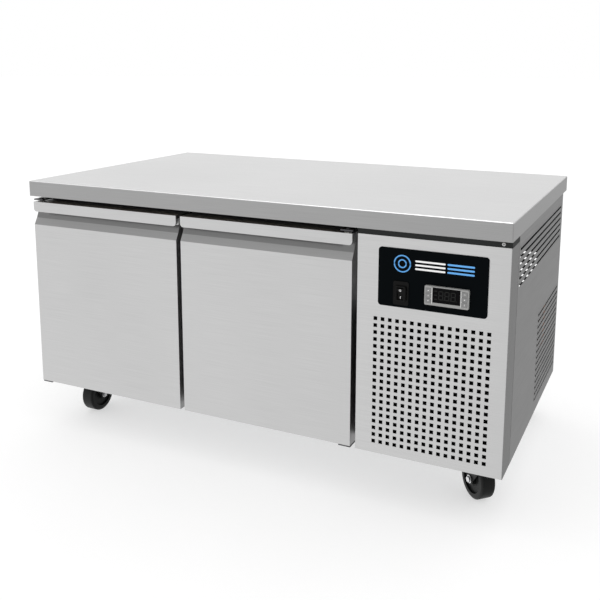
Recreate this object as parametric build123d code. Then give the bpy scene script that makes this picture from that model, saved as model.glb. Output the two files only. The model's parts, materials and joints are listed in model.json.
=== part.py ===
from build123d import *
import os
from math import cos, radians, sin

os.makedirs("parts", exist_ok=True)

# Under counter fridge, millimetres. +X right, +Y back, +Z up; the origin is on the
# floor under the middle of the worktop.

# ------------------------------------------------------------------ overall sizes
WIDTH = 1200.0
DEPTH = 700.0
HEIGHT = 650.0

# ------------------------------------------------------------------ worktop
WORKTOP_EDGE = 38.0
WORKTOP_SHEET = 1.2
WORKTOP_TOP_RADIUS = 2.5
WORKTOP_CORNER_RADIUS = 2.0

# ------------------------------------------------------------------ cabinet body
SIDE_INSET = 2.0  # cabinet side behind the worktop edge
FRONT_INSET = 10.0  # door face behind the worktop edge
BACK_INSET = 45.0  # cabinet back in front of the worktop edge
CASTER_HEIGHT = 121.0
SHEET = 1.0
LINER_SHEET = 0.8
WALL = 50.0  # insulated wall with both skins
FRAME_DEPTH = 8.0  # plastic frame round the door openings
PARTITION_OFFSET = 6.0  # partition face to the right of the front panel's left edge
MULLION_DEPTH = 60.0
GASKET_MARGIN = 4.0  # gasket edge to mullion edge
STRIP_HEIGHT = 16.0  # dark strip between worktop and doors

# ------------------------------------------------------------------ doors
DOOR_GAP = 12.0
DOOR_THICKNESS = 60.0
DOOR_LIFT = 3.0
DOOR_SHEET = 1.0
LIP_HEIGHT = 25.0
LIP_THICKNESS = 4.0
LIP_CORNER_RADIUS = 8.0
GRIP_DEPTH = 16.0
GRIP_FOLD_DEPTH = 9.0
GRIP_FOLD_DROP = 17.0  # from the lip's lower edge to the fold in the grip hollow
GRIP_DROP = 33.0  # from the lip's lower edge to the foot of the grip hollow
GRIP_RISE = 17.0  # hollow behind the lip
GRIP_END_BLOCK = 30.0
GASKET_DEPTH = 10.0
GASKET_CLEARANCE = 0.4
GASKET_INSET = 16.0
GASKET_WIDTH = 14.0
GASKET_ROUND = 2.0
PAN_MARGIN = 6.0  # gasket to the raised pan on the door's inside
PAN_RAISE = 7.0
PAN_ROUND = 3.0

# ------------------------------------------------------------------ door hinges
PIN_INSET = 14.0  # from the door's hinge edge and from its face
PIN_DIAMETER = 8.0
PIN_HEAD_DIAMETER = 12.0
PIN_HEAD = 2.0
RUNNING_CLEARANCE = 0.05
BUSH_DIAMETER = 14.0
BUSH_LENGTH = 22.0
BUSH_FLANGE_DIAMETER = 18.0
BUSH_FLANGE = 0.6
PIN_END_GAP = 2.0
BRACKET_WIDTH = 28.0
BRACKET_THICKNESS = 3.0
BRACKET_REACH = 12.0  # bracket plate in front of the pin
BRACKET_LEG = 15.0
TOP_BRACKET_GAP = 4.0
BOTTOM_BRACKET_GAP = 1.0

# ------------------------------------------------------------------ front panel
PANEL_WIDTH = 318.5
PANEL_STRIP = 13.5  # dark strip between worktop and front panel
PANEL_LIFT = 1.0
PANEL_LEFT_RETURN = 20.0
PANEL_RIGHT_RETURN = 68.0
PANEL_EDGE_RETURN = 12.0
PANEL_BEND_RADIUS = 1.5
GRILLE_HOLE = 8.2
GRILLE_PITCH_X = 15.9
GRILLE_PITCH_Z = 15.17
GRILLE_SIDE_MARGIN = 38.0
GRILLE_TOP_MARGIN = 30.9  # control plate to the first row
GRILLE_BOTTOM_MARGIN = 22.0
TRIM_SETBACK = 1.0
TRIM_THICKNESS = 6.0
TRIM_DEPTH = 30.0
TRIM_GAP = 1.0

# ------------------------------------------------------------------ control plate
PLATE_WIDTH = 228.0
PLATE_HEIGHT = 123.5
PLATE_THICKNESS = 1.5
PLATE_CORNER = 7.0
PLATE_TOP_MARGIN = 22.5
PLATE_RIGHT_MARGIN = 43.0
SWITCH_FROM_LEFT = 50.0
SWITCH_FROM_BOTTOM = 30.5
CONTROLLER_FROM_LEFT = 146.5
CONTROLLER_FROM_BOTTOM = 35.0

# rocker switch
SWITCH_WIDTH = 33.0
SWITCH_HEIGHT = 50.0
SWITCH_FLANGE = 2.0
SWITCH_CORNER = 4.0
COLLAR_WIDTH = 25.0
COLLAR_HEIGHT = 31.0
COLLAR_PROUD = 7.5  # collar front in front of the plate
COLLAR_BEVEL = 1.5
SWITCH_BODY_WIDTH = 22.0
SWITCH_BODY_HEIGHT = 34.0
SWITCH_BODY_DEPTH = 26.0
ROCKER_WIDTH = 13.0
ROCKER_HEIGHT = 24.0
ROCKER_END_RISE = 2.35
ROCKER_EDGE = 3.85
ROCKER_BACK = 9.0
ROCKER_PIVOT_DEPTH = 3.0
ROCKER_TILT = 10.0
ROCKER_SINK = 3.9  # middle of the rocker behind the collar's front
ROCKER_SIDE_GAP = 0.4
ROCKER_END_GAP = 1.1
ROCKER_POCKET = 13.0
ROCKER_STUB_DIAMETER = 2.4
ROCKER_STUB = 1.6

# temperature controller
CONTROLLER_WIDTH = 91.0
CONTROLLER_HEIGHT = 40.0
CONTROLLER_PROUD = 6.5
CONTROLLER_CORNER = 3.0
CONTROLLER_CASE_WIDTH = 80.0
CONTROLLER_CASE_HEIGHT = 34.0
CONTROLLER_CASE_DEPTH = 50.0
CUTOUT_CLEARANCE = 0.4
WINDOW_WIDTH = 57.0
WINDOW_HEIGHT = 31.5
WINDOW_RISE = 2.2  # window centre above the controller's
WINDOW_THICKNESS = 2.0
WINDOW_SINK = 0.8
KEY_ROWS = 3
KEY_WIDTH = 11.0
KEY_HEIGHT = 9.0
KEY_PITCH = 10.6
KEY_DEPTH = 3.2
KEY_PROUD = 0.8
KEY_CLEARANCE = 0.3
KEY_POCKET = 3.6
KEY_ROUND = 0.8

# ------------------------------------------------------------------ side louvres
LOUVRE_SLOT = 7.0
LOUVRE_PROUD = 1.0
LOUVRE_RISE = 4.5
UPPER_LOUVRES = 6
UPPER_LOUVRE_PITCH = 15.2
UPPER_LOUVRE_TOP = 36.0
UPPER_LOUVRE_FRONT = 12.0
UPPER_LOUVRE_BACK = 24.0
LOWER_LOUVRE_PITCH = 15.0
LOWER_LOUVRE_BASE = 30.0
LOWER_LOUVRE_BACK = 13.0
LOWER_LOUVRE_LENGTH = 288.0
LOUVRE_GROUP_GAP = 130.0

# ------------------------------------------------------------------ back panel
BACK_VENT_SLOT = 6.0
BACK_VENT_PITCH = 16.0
BACK_VENT_LENGTH = 200.0
BACK_VENTS = 14
BACK_VENT_BASE = 110.0
INLET_FROM_RIGHT = 70.0
INLET_FROM_BASE = 60.0
INLET_FLANGE_WIDTH = 50.0
INLET_FLANGE_HEIGHT = 30.0
INLET_FLANGE = 2.5
INLET_BODY_WIDTH = 30.0
INLET_BODY_HEIGHT = 22.0
INLET_BODY_DEPTH = 28.0
INLET_SOCKET_WIDTH = 25.0
INLET_SOCKET_HEIGHT = 17.0
INLET_SOCKET_DEPTH = 20.0
INLET_PIN_WIDTH = 2.0
INLET_PIN_HEIGHT = 4.0
INLET_PIN_LENGTH = 16.0
INLET_PIN_PITCH = 7.0
INLET_EARTH_RISE = 3.0

# ------------------------------------------------------------------ screws
SCREW_HEAD_DIAMETER = 8.0
SCREW_HEAD = 2.0
SCREW_SHANK_DIAMETER = 4.0
SCREW_SHANK = 7.0
SCREW_HOLE_CLEARANCE = 0.2
TRIM_SCREW_INSET = 17.0
BACK_SCREW_INSET = 14.0
BRACKET_SCREW_PITCH = 14.0

# ------------------------------------------------------------------ evaporator
HOUSING_WIDTH = 110.0
HOUSING_FRONT_GAP = 60.0  # behind the mullion
HOUSING_BASE_GAP = 26.0
HOUSING_TOP_GAP = 22.0
HOUSING_SLOT = 8.0
HOUSING_SLOT_PITCH = 20.0
HOUSING_SLOTS = 5
HOUSING_SLOT_LENGTH = 200.0
COLD_COIL_GAP = 10.0  # coil to the housing's sides
COLD_COIL_LENGTH = 240.0
COLD_COIL_HEIGHT = 230.0
COLD_COIL_BACK_GAP = 40.0
COLD_FAN_DIAMETER = 88.0
COLD_FAN_OPENING = 96.0
COLD_FAN_DROP = 75.0  # fan axis below the housing's top
COLD_HUB_DIAMETER = 30.0
COLD_HUB_LENGTH = 14.0
COLD_MOTOR_DIAMETER = 46.0
COLD_MOTOR_LENGTH = 34.0

# ------------------------------------------------------------------ condensing unit
UNIT_PLATE = 2.0
UNIT_PLATE_RIM = 14.0
UNIT_PLATE_GAP = 8.0
COIL_WIDTH = 260.0
COIL_HEIGHT = 270.0
COIL_DEPTH = 55.0
COIL_FRONT_GAP = 14.0
COIL_CORE = 18.0
COIL_END_PLATE = 1.2
COIL_LIFT = 4.0
FIN_THICKNESS = 1.2
FIN_PITCH = 6.0
BEND_DIAMETER = 8.0
BEND_PITCH = 36.0
SHROUD_DEPTH = 28.0
HOT_FAN_DIAMETER = 212.0
HOT_FAN_OPENING = 224.0
HOT_HUB_DIAMETER = 46.0
HOT_HUB_LENGTH = 22.0
HOT_MOTOR_DIAMETER = 80.0
HOT_MOTOR_LENGTH = 60.0
FAN_BLADES = 5
FAN_BLADE_THICKNESS = 2.0
FAN_PITCH_ANGLE = 28.0
FAN_SHAFT_DIAMETER = 6.0
FAN_SHAFT_IN_MOTOR = 18.0
FAN_MOTOR_GAP = 5.0
MOTOR_ARM_WIDTH = 14.0
MOTOR_ARM = 2.0
MOTOR_ARM_REACH = 8.0  # arm foot beyond the fan opening
COMPRESSOR_DIAMETER = 124.0
COMPRESSOR_HEIGHT = 150.0
COMPRESSOR_DOME = 34.0
COMPRESSOR_SEAM = 2.0
COMPRESSOR_SEAM_HEIGHT = 6.0
COMPRESSOR_FROM_BACK = 130.0
COMPRESSOR_FOOT_LENGTH = 190.0
COMPRESSOR_FOOT_WIDTH = 60.0
COMPRESSOR_FOOT = 3.0
COMPRESSOR_RUBBER = 12.0
COMPRESSOR_RUBBER_DIAMETER = 24.0
TERMINAL_WIDTH = 54.0
TERMINAL_HEIGHT = 60.0
TERMINAL_DEPTH = 22.0
PORT_DIAMETER = 12.0
PORT_LENGTH = 10.0
DISCHARGE_PORT_HEIGHT = 95.0
SUCTION_PORT_HEIGHT = 60.0
ELECTRIC_BOX_DEPTH = 60.0
ELECTRIC_BOX_LENGTH = 140.0
ELECTRIC_BOX_HEIGHT = 100.0
ELECTRIC_BOX_TOP_GAP = 40.0
ELECTRIC_BOX_LID = 3.0

# refrigerant lines
LINE_DIAMETER = 8.0
LINE_BEND = 14.0
SHORT_BEND = 10.0
LINE_WALL_GAP = 14.0  # pipe centre to a side skin
DRIER_DIAMETER = 24.0
DRIER_LENGTH = 90.0
DRIER_START = 40.0  # behind the coil
LIQUID_LINE_HEIGHT = 90.0  # above the base where it enters the back wall
SUCTION_LINE_HEIGHT = 115.0
FOAM_CHANNEL_GAP = 0.6

# ------------------------------------------------------------------ shelves
SHELF_HEIGHT = 190.0  # above the cavity floor
SHELF_RAIL = 16.0
SHELF_RAIL_SHEET = 1.2
SHELF_RAIL_FRONT = 60.0
SHELF_SIDE_GAP = 4.0
SHELF_FRONT_GAP = 70.0  # behind the mullion's front
SHELF_BACK_GAP = 14.0
SHELF_FRAME_ROD = 6.0
SHELF_WIRE = 3.6
SHELF_WIRE_PITCH = 26.0

# ------------------------------------------------------------------ casters
CASTER_SIDE_INSET = 58.0  # swivel axis from the cabinet side
CASTER_FRONT_INSET = 43.0  # swivel axis behind the frame plane
CASTER_BACK_INSET = 68.0
CASTER_PLATE_LENGTH = 80.0
CASTER_PLATE_WIDTH = 62.0
CASTER_PLATE = 3.0
CASTER_BOLT_HOLE = 8.5
CASTER_BOLT_X = 60.0
CASTER_BOLT_Y = 44.0
RACE_DIAMETER = 46.0
UPPER_RACE = 5.0
RACE_GAP = 0.3
LOWER_RACE = 11.0
KINGPIN_DIAMETER = 12.0
KINGPIN_HEAD_DIAMETER = 20.0
KINGPIN_HEAD = 2.5
CROWN = 3.0
CROWN_HALF_LENGTH = 24.0
SWIVEL_HEIGHT = 31.0  # from the wheel's top to the top plate's upper face
WHEEL_WIDTH = 35.0
WHEEL_ROUND = 6.0
HUB_WIDTH = 36.0
HUB_DIAMETER = 26.0
WHEEL_DISH = 5.0
TREAD_THICKNESS = 13.0
AXLE_DIAMETER = 8.0
AXLE_HEAD_DIAMETER = 14.0
AXLE_HEAD = 3.0
TRAIL = 27.0
FORK_SHEET = 3.0
FORK_SIDE_GAP = 1.0  # wheel to leg
FORK_BOSS_DIAMETER = 24.0
CASTER_TURN = {
    "front_left": 0.0,
    "front_right": 45.0,
    "rear_left": -20.0,
    "rear_right": 15.0,
}

# ------------------------------------------------------------------ worked-out places
left = -WIDTH / 2 + SIDE_INSET
right = WIDTH / 2 - SIDE_INSET
face = -DEPTH / 2 + FRONT_INSET
back = DEPTH / 2 - BACK_INSET
base = CASTER_HEIGHT
wheel_diameter = CASTER_HEIGHT - SWIVEL_HEIGHT
top = HEIGHT - WORKTOP_EDGE

panel_left = right - PANEL_WIDTH
door_width = (right - left - PANEL_WIDTH - 2 * DOOR_GAP) / 2
door_bottom = base + DOOR_LIFT
door_top = top - STRIP_HEIGHT
panel_top = top - PANEL_STRIP
door_back = face + DOOR_THICKNESS
frame_plane = door_back + GASKET_DEPTH
hinge_y = face + PIN_INSET
lip_bottom = door_top - LIP_HEIGHT

partition = panel_left + PARTITION_OFFSET
cavity_left = left + WALL
cavity_right = partition - WALL
cavity_bottom = base + WALL
cavity_top = top - WALL
cavity_back = back - WALL
liner_front = frame_plane + FRAME_DEPTH
mullion_width = DOOR_GAP + 2 * (GASKET_INSET + GASKET_WIDTH + GASKET_MARGIN)
mullion_centre = left + door_width + DOOR_GAP / 2
mullion_back = frame_plane + MULLION_DEPTH

plate_top = panel_top - PLATE_TOP_MARGIN
plate_bottom = plate_top - PLATE_HEIGHT
plate_left = right - PLATE_RIGHT_MARGIN - PLATE_WIDTH
plate_centre = plate_left + PLATE_WIDTH / 2
plate_face = face - PLATE_THICKNESS

housing_left = mullion_centre - HOUSING_WIDTH / 2
housing_right = mullion_centre + HOUSING_WIDTH / 2
housing_front = mullion_back + HOUSING_FRONT_GAP
housing_bottom = cavity_bottom + HOUSING_BASE_GAP
housing_top = cavity_top - HOUSING_TOP_GAP
cold_fan_z = housing_top - COLD_FAN_DROP

unit_centre = (partition + right - SHEET) / 2
unit_floor = base + SHEET + UNIT_PLATE
coil_front = frame_plane + COIL_FRONT_GAP
coil_back = coil_front + COIL_DEPTH
coil_bottom = unit_floor + COIL_LIFT
coil_top = coil_bottom + COIL_HEIGHT
coil_left = unit_centre - COIL_WIDTH / 2
coil_right = unit_centre + COIL_WIDTH / 2
shroud_back = coil_back + SHROUD_DEPTH
hot_fan_z = coil_bottom + COIL_HEIGHT / 2
compressor_y = back - COMPRESSOR_FROM_BACK
compressor_floor = unit_floor + COMPRESSOR_RUBBER + COMPRESSOR_FOOT

axle_z = wheel_diameter / 2
race_z = base - CASTER_PLATE - UPPER_RACE
crown_bottom = race_z - RACE_GAP - LOWER_RACE - CROWN

inlet_x = right - INLET_FROM_RIGHT
inlet_z = base + INLET_FROM_BASE


# ------------------------------------------------------------------ helpers
def block(x_span, y_span, z_span):
    """Box between two values on each axis."""
    spans = (x_span, y_span, z_span)
    centre = [(low + high) / 2 for low, high in spans]
    size = [high - low for low, high in spans]
    return Pos(*centre) * Box(*size)


def rod(start, end, diameter):
    """Round bar from one point to another."""
    along = Vector(*end) - Vector(*start)
    return extrude(Plane(origin=start, z_dir=along) * Circle(diameter / 2), along.length)


def pipe(points, diameter, bend):
    """Round tube's outer form along straight runs joined by arcs."""
    path = FilletPolyline(*points, radius=bend)
    return sweep(Plane(origin=points[0], z_dir=path % 0) * Circle(diameter / 2), path=path)


def prism_x(points, x_span):
    """Solid with the outline given in (y, z), drawn out along X."""
    outline = make_face(Polyline(*[(x_span[0], y, z) for y, z in points], close=True))
    return extrude(outline, x_span[1] - x_span[0], dir=(1, 0, 0))


def rounded_plate(centre, size, corner, y_span):
    """Plate in the XZ plane with rounded corners."""
    plane = Plane(origin=(centre[0], y_span[0], centre[1]), x_dir=(1, 0, 0), z_dir=(0, 1, 0))
    outline = RectangleRounded(size[0], size[1], corner)
    return extrude(plane * outline, y_span[1] - y_span[0])


def column(x_y, z_span, diameter):
    """Upright round bar."""
    return rod((*x_y, z_span[0]), (*x_y, z_span[1]), diameter)


def write(node, solids):
    """Write one STEP file for a node of one or more solids."""
    found = [solid for item in solids for solid in item.solids()]
    export_step(found[0] if len(found) == 1 else Compound(found), f"parts/{node}.step")


# ------------------------------------------------------------------ screws
def screw(at, direction):
    """Pan head screw whose head seats on the point at, its shank going the other way."""
    seat = Plane(origin=at, z_dir=direction)
    head = extrude(seat * Circle(SCREW_HEAD_DIAMETER / 2), SCREW_HEAD)
    head = fillet(head.edges().group_by(Axis(at, direction))[-1], SCREW_HEAD * 0.6)
    shank = extrude(seat * Circle(SCREW_SHANK_DIAMETER / 2), -SCREW_SHANK)
    return head + shank


def screw_hole(at, direction):
    """Clearance hole for a screw's shank."""
    seat = Plane(origin=at, z_dir=direction)
    radius = SCREW_SHANK_DIAMETER / 2 + SCREW_HOLE_CLEARANCE
    return extrude(seat * Circle(radius), SCREW_SHANK + SCREW_HOLE_CLEARANCE, both=True)


FRONTWARD = (0, -1, 0)
BACKWARD = (0, 1, 0)
trim_screw = (right - TRIM_SCREW_INSET, face + TRIM_SETBACK, top - PANEL_STRIP / 2)
back_screws = [
    (x, back, z)
    for x in (left + BACK_SCREW_INSET, partition - WALL / 2, right - BACK_SCREW_INSET)
    for z in (base + BACK_SCREW_INSET, top - BACK_SCREW_INSET)
]


def screws():
    return [screw(trim_screw, FRONTWARD)] + [screw(at, BACKWARD) for at in back_screws]


# ------------------------------------------------------------------ worktop
def worktop():
    outer = block((-WIDTH / 2, WIDTH / 2), (-DEPTH / 2, DEPTH / 2), (top, HEIGHT))
    outer = fillet(outer.edges().filter_by(Axis.Z), WORKTOP_CORNER_RADIUS)
    outer = fillet(outer.edges().group_by(Axis.Z)[-1], WORKTOP_TOP_RADIUS)
    return outer - worktop_core()


def worktop_core():
    half_width = WIDTH / 2 - WORKTOP_SHEET
    half_depth = DEPTH / 2 - WORKTOP_SHEET
    board = block((-half_width, half_width), (-half_depth, half_depth), (top, HEIGHT - WORKTOP_SHEET))
    upper_edges = board.edges().group_by(Axis.Z)[-1]
    return fillet(upper_edges, WORKTOP_TOP_RADIUS - WORKTOP_SHEET)


# ------------------------------------------------------------------ outer skins
def cabinet_top_panel():
    return block((left + SHEET, right - SHEET), (frame_plane, back), (top - SHEET, top))


def left_side_panel():
    return block((left, left + SHEET), (frame_plane, back), (base, top))


def louvre(y_span, z):
    """Slot through the right side and the pressed hood over it."""
    slot = block((right - 2 * SHEET, right + SHEET), y_span, (z, z + LOUVRE_SLOT))
    hood_top = z + LOUVRE_SLOT + LOUVRE_RISE
    outline = [
        (right, y_span[0], z + LOUVRE_SLOT),
        (right + LOUVRE_PROUD, y_span[0], z + LOUVRE_SLOT),
        (right, y_span[0], hood_top),
    ]
    hood = extrude(make_face(Polyline(*outline, close=True)), y_span[1] - y_span[0], dir=(0, 1, 0))
    return slot, hood


def right_side_panel():
    panel = block((right - SHEET, right), (frame_plane, back), (base, top))
    upper = top - UPPER_LOUVRE_TOP
    places = [
        ((frame_plane + UPPER_LOUVRE_FRONT, back - UPPER_LOUVRE_BACK), upper - UPPER_LOUVRE_PITCH * row)
        for row in range(UPPER_LOUVRES)
    ]
    lowest = places[-1][1]
    lower = base + LOWER_LOUVRE_BASE
    rows = int((lowest - LOUVRE_GROUP_GAP - lower) // LOWER_LOUVRE_PITCH) + 1
    behind = back - LOWER_LOUVRE_BACK
    for row in range(rows):
        places.append(((behind - LOWER_LOUVRE_LENGTH, behind), lower + LOWER_LOUVRE_PITCH * row))
    for y_span, z in places:
        slot, hood = louvre(y_span, z)
        panel = panel - slot + hood
    return panel


def back_panel():
    panel = block((left + SHEET, right - SHEET), (back - SHEET, back), (base + SHEET, top - SHEET))
    slots = [
        block(
            (unit_centre - BACK_VENT_LENGTH / 2, unit_centre + BACK_VENT_LENGTH / 2),
            (back - 2 * SHEET, back + SHEET),
            (z, z + BACK_VENT_SLOT),
        )
        for z in [base + BACK_VENT_BASE + BACK_VENT_PITCH * row for row in range(back_vent_rows)]
    ]
    cutout = block(
        (inlet_x - INLET_BODY_WIDTH / 2 - CUTOUT_CLEARANCE, inlet_x + INLET_BODY_WIDTH / 2 + CUTOUT_CLEARANCE),
        (back - 2 * SHEET, back + SHEET),
        (inlet_z - INLET_BODY_HEIGHT / 2 - CUTOUT_CLEARANCE, inlet_z + INLET_BODY_HEIGHT / 2 + CUTOUT_CLEARANCE),
    )
    return panel - slots - cutout - [screw_hole(at, BACKWARD) for at in back_screws]


def base_panel():
    sheet = block((left + SHEET, right - SHEET), (frame_plane, back), (base, base + SHEET))
    return sheet


def partition_panel():
    sheet = block((partition - SHEET, partition), (frame_plane, back - SHEET), (base + SHEET, top - SHEET))
    return sheet - line_channels(FOAM_CHANNEL_GAP)


# ------------------------------------------------------------------ insulated body
def insulation_foam():
    outer = block(
        (left + SHEET, partition - SHEET),
        (liner_front, back - SHEET),
        (base + SHEET, top - SHEET),
    )
    hollow = block(
        (cavity_left - LINER_SHEET, cavity_right + LINER_SHEET),
        (liner_front, cavity_back + LINER_SHEET),
        (cavity_bottom - LINER_SHEET, cavity_top + LINER_SHEET),
    )
    return outer - hollow - line_channels(FOAM_CHANNEL_GAP) - [screw_hole(at, BACKWARD) for at in back_screws]


def inner_liner():
    """Five welded liner sheets: floor, ceiling, left, right and back."""
    deep = (liner_front, cavity_back)
    wide = (cavity_left, cavity_right)
    tall = (cavity_bottom - LINER_SHEET, cavity_top + LINER_SHEET)
    floor = block(wide, deep, (cavity_bottom - LINER_SHEET, cavity_bottom))
    ceiling = block(wide, deep, (cavity_top, cavity_top + LINER_SHEET))
    left_wall = block((cavity_left - LINER_SHEET, cavity_left), deep, tall)
    right_wall = block((cavity_right, cavity_right + LINER_SHEET), deep, tall)
    rear = block(
        (cavity_left - LINER_SHEET, cavity_right + LINER_SHEET),
        (cavity_back, cavity_back + LINER_SHEET),
        tall,
    )
    return [floor, ceiling, left_wall, right_wall, rear - line_channels(FOAM_CHANNEL_GAP)]


def breaker_frame():
    """Four plastic strips that close the front of the insulated walls."""
    deep = (frame_plane, liner_front)
    tall = (base + SHEET, top - SHEET)
    wide = (cavity_left, cavity_right)
    return [
        block((left + SHEET, cavity_left), deep, tall),
        block((cavity_right, partition - SHEET), deep, tall),
        block(wide, deep, (base + SHEET, cavity_bottom)),
        block(wide, deep, (cavity_top, top - SHEET)),
    ]


def mullion():
    """Folded post between the doors, open to the back."""
    spans = (mullion_centre - mullion_width / 2, mullion_centre + mullion_width / 2)
    post = block(spans, (frame_plane, mullion_back), (cavity_bottom, cavity_top))
    hollow = block(
        (spans[0] + SHEET, spans[1] - SHEET),
        (frame_plane + SHEET, mullion_back),
        (cavity_bottom, cavity_top),
    )
    return post - hollow


def top_trim():
    """Dark strips under the worktop: a recessed one over the doors, a flush one over the panel."""
    over_doors = block((left, panel_left), (frame_plane - TRIM_DEPTH, frame_plane), (top - TRIM_THICKNESS, top))
    over_panel = block((panel_left, right), (face + TRIM_SETBACK, frame_plane), (panel_top + TRIM_GAP, top))
    return [over_doors, over_panel - screw_hole(trim_screw, FRONTWARD)]


# ------------------------------------------------------------------ front panel and controls
def front_panel():
    bottom = base + PANEL_LIFT
    outer = block((panel_left, right), (face, face + PANEL_RIGHT_RETURN), (bottom, panel_top))
    outer = fillet(outer.edges().filter_by(Axis.Z).group_by(Axis.Y)[0], PANEL_BEND_RADIUS)
    inside = (panel_left + SHEET, right - SHEET)
    hollow = block(
        inside, (face + SHEET, face + PANEL_RIGHT_RETURN), (bottom + SHEET, panel_top - SHEET)
    )
    left_trim = block(
        (panel_left, right - SHEET),
        (face + PANEL_LEFT_RETURN, face + PANEL_RIGHT_RETURN),
        (bottom, panel_top),
    )
    edge_trim = block(
        inside, (face + PANEL_EDGE_RETURN, face + PANEL_LEFT_RETURN), (bottom, panel_top)
    )
    panel = outer - hollow - left_trim - edge_trim
    return panel - grille_holes() - control_cutouts()


def grille_holes():
    """Square holes in rows and columns, as many as the panel has room for."""
    columns = int((PANEL_WIDTH - 2 * GRILLE_SIDE_MARGIN) // GRILLE_PITCH_X) + 1
    first = plate_bottom - GRILLE_TOP_MARGIN
    rows = int((first - door_bottom - GRILLE_BOTTOM_MARGIN) // GRILLE_PITCH_Z) + 1
    middle = first - GRILLE_PITCH_Z * (rows - 1) / 2
    plane = Plane(origin=(plate_centre, face - SHEET, middle), x_dir=(1, 0, 0), z_dir=(0, 1, 0))
    pattern = GridLocations(GRILLE_PITCH_X, GRILLE_PITCH_Z, columns, rows)
    holes = Sketch() + [place * Rectangle(GRILLE_HOLE, GRILLE_HOLE) for place in pattern]
    return extrude(plane * holes, 3 * SHEET)


def switch_place():
    return plate_left + SWITCH_FROM_LEFT, plate_bottom + SWITCH_FROM_BOTTOM


def controller_place():
    return plate_left + CONTROLLER_FROM_LEFT, plate_bottom + CONTROLLER_FROM_BOTTOM


def control_cutouts():
    """Openings for the switch body and the controller case, through plate and panel."""
    openings = []
    for centre, width, height in (
        (switch_place(), SWITCH_BODY_WIDTH, SWITCH_BODY_HEIGHT),
        (controller_place(), CONTROLLER_CASE_WIDTH, CONTROLLER_CASE_HEIGHT),
    ):
        half_width = width / 2 + CUTOUT_CLEARANCE
        half_height = height / 2 + CUTOUT_CLEARANCE
        openings.append(
            block(
                (centre[0] - half_width, centre[0] + half_width),
                (plate_face - SHEET, face + 2 * SHEET),
                (centre[1] - half_height, centre[1] + half_height),
            )
        )
    return openings


def control_plate():
    centre = (plate_centre, (plate_bottom + plate_top) / 2)
    plate = rounded_plate(centre, (PLATE_WIDTH, PLATE_HEIGHT), PLATE_CORNER, (plate_face, face))
    return plate - control_cutouts()


def rocker():
    """Rocker with a shallow V front, tilted to its rest position, on two pivot stubs."""
    x, z = switch_place()
    front = plate_face - COLLAR_PROUD + ROCKER_SINK
    half = ROCKER_HEIGHT / 2
    outline = [
        (front - ROCKER_END_RISE, z - half),
        (front, z),
        (front - ROCKER_END_RISE, z + half),
        (front - ROCKER_END_RISE + ROCKER_EDGE, z + half),
        (front + ROCKER_BACK, z),
        (front - ROCKER_END_RISE + ROCKER_EDGE, z - half),
    ]
    body = prism_x(outline, (x - ROCKER_WIDTH / 2, x + ROCKER_WIDTH / 2))
    reach = ROCKER_WIDTH / 2 + ROCKER_SIDE_GAP + ROCKER_STUB
    pivot_y = front + ROCKER_PIVOT_DEPTH
    body += rod((x - reach, pivot_y, z), (x + reach, pivot_y, z), ROCKER_STUB_DIAMETER)
    return body.rotate(Axis((x, pivot_y, z), (1, 0, 0)), ROCKER_TILT)


def switch_bezel():
    x, z = switch_place()
    front = plate_face - COLLAR_PROUD
    flange = (plate_face - SWITCH_FLANGE, plate_face)
    bezel = rounded_plate((x, z), (SWITCH_WIDTH, SWITCH_HEIGHT), SWITCH_CORNER, flange)
    collar = rounded_plate((x, z), (COLLAR_WIDTH, COLLAR_HEIGHT), SWITCH_CORNER, (front, plate_face))
    bezel += chamfer(collar.edges().group_by(Axis.Y)[0], COLLAR_BEVEL)
    bezel += block(
        (x - SWITCH_BODY_WIDTH / 2, x + SWITCH_BODY_WIDTH / 2),
        (plate_face, plate_face + SWITCH_BODY_DEPTH),
        (z - SWITCH_BODY_HEIGHT / 2, z + SWITCH_BODY_HEIGHT / 2),
    )
    half_width = ROCKER_WIDTH / 2 + ROCKER_SIDE_GAP
    half_height = ROCKER_HEIGHT / 2 + ROCKER_END_GAP
    bezel -= block((x - half_width, x + half_width), (front, front + ROCKER_POCKET), (z - half_height, z + half_height))
    reach = half_width + ROCKER_STUB + RUNNING_CLEARANCE
    pivot_y = front + ROCKER_SINK + ROCKER_PIVOT_DEPTH
    bore = ROCKER_STUB_DIAMETER + 2 * RUNNING_CLEARANCE
    return bezel - rod((x - reach, pivot_y, z), (x + reach, pivot_y, z), bore)


def key_places():
    """Centres of the controller's keys: one column each side of the window."""
    x, z = controller_place()
    column_offset = (CONTROLLER_WIDTH / 2 + WINDOW_WIDTH / 2) / 2
    places = []
    for side in (-1, 1):
        for row in range(KEY_ROWS):
            rise = ((KEY_ROWS - 1) / 2 - row) * KEY_PITCH
            places.append((x + side * column_offset, z + rise))
    return places


def key(place):
    front = plate_face - CONTROLLER_PROUD - KEY_PROUD
    pad = rounded_plate(place, (KEY_WIDTH, KEY_HEIGHT), KEY_ROUND, (front, front + KEY_DEPTH))
    return fillet(pad.edges().group_by(Axis.Y)[0], KEY_PROUD / 2)


def window_span(z):
    middle = z + WINDOW_RISE
    return middle - WINDOW_HEIGHT / 2, middle + WINDOW_HEIGHT / 2


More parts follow.
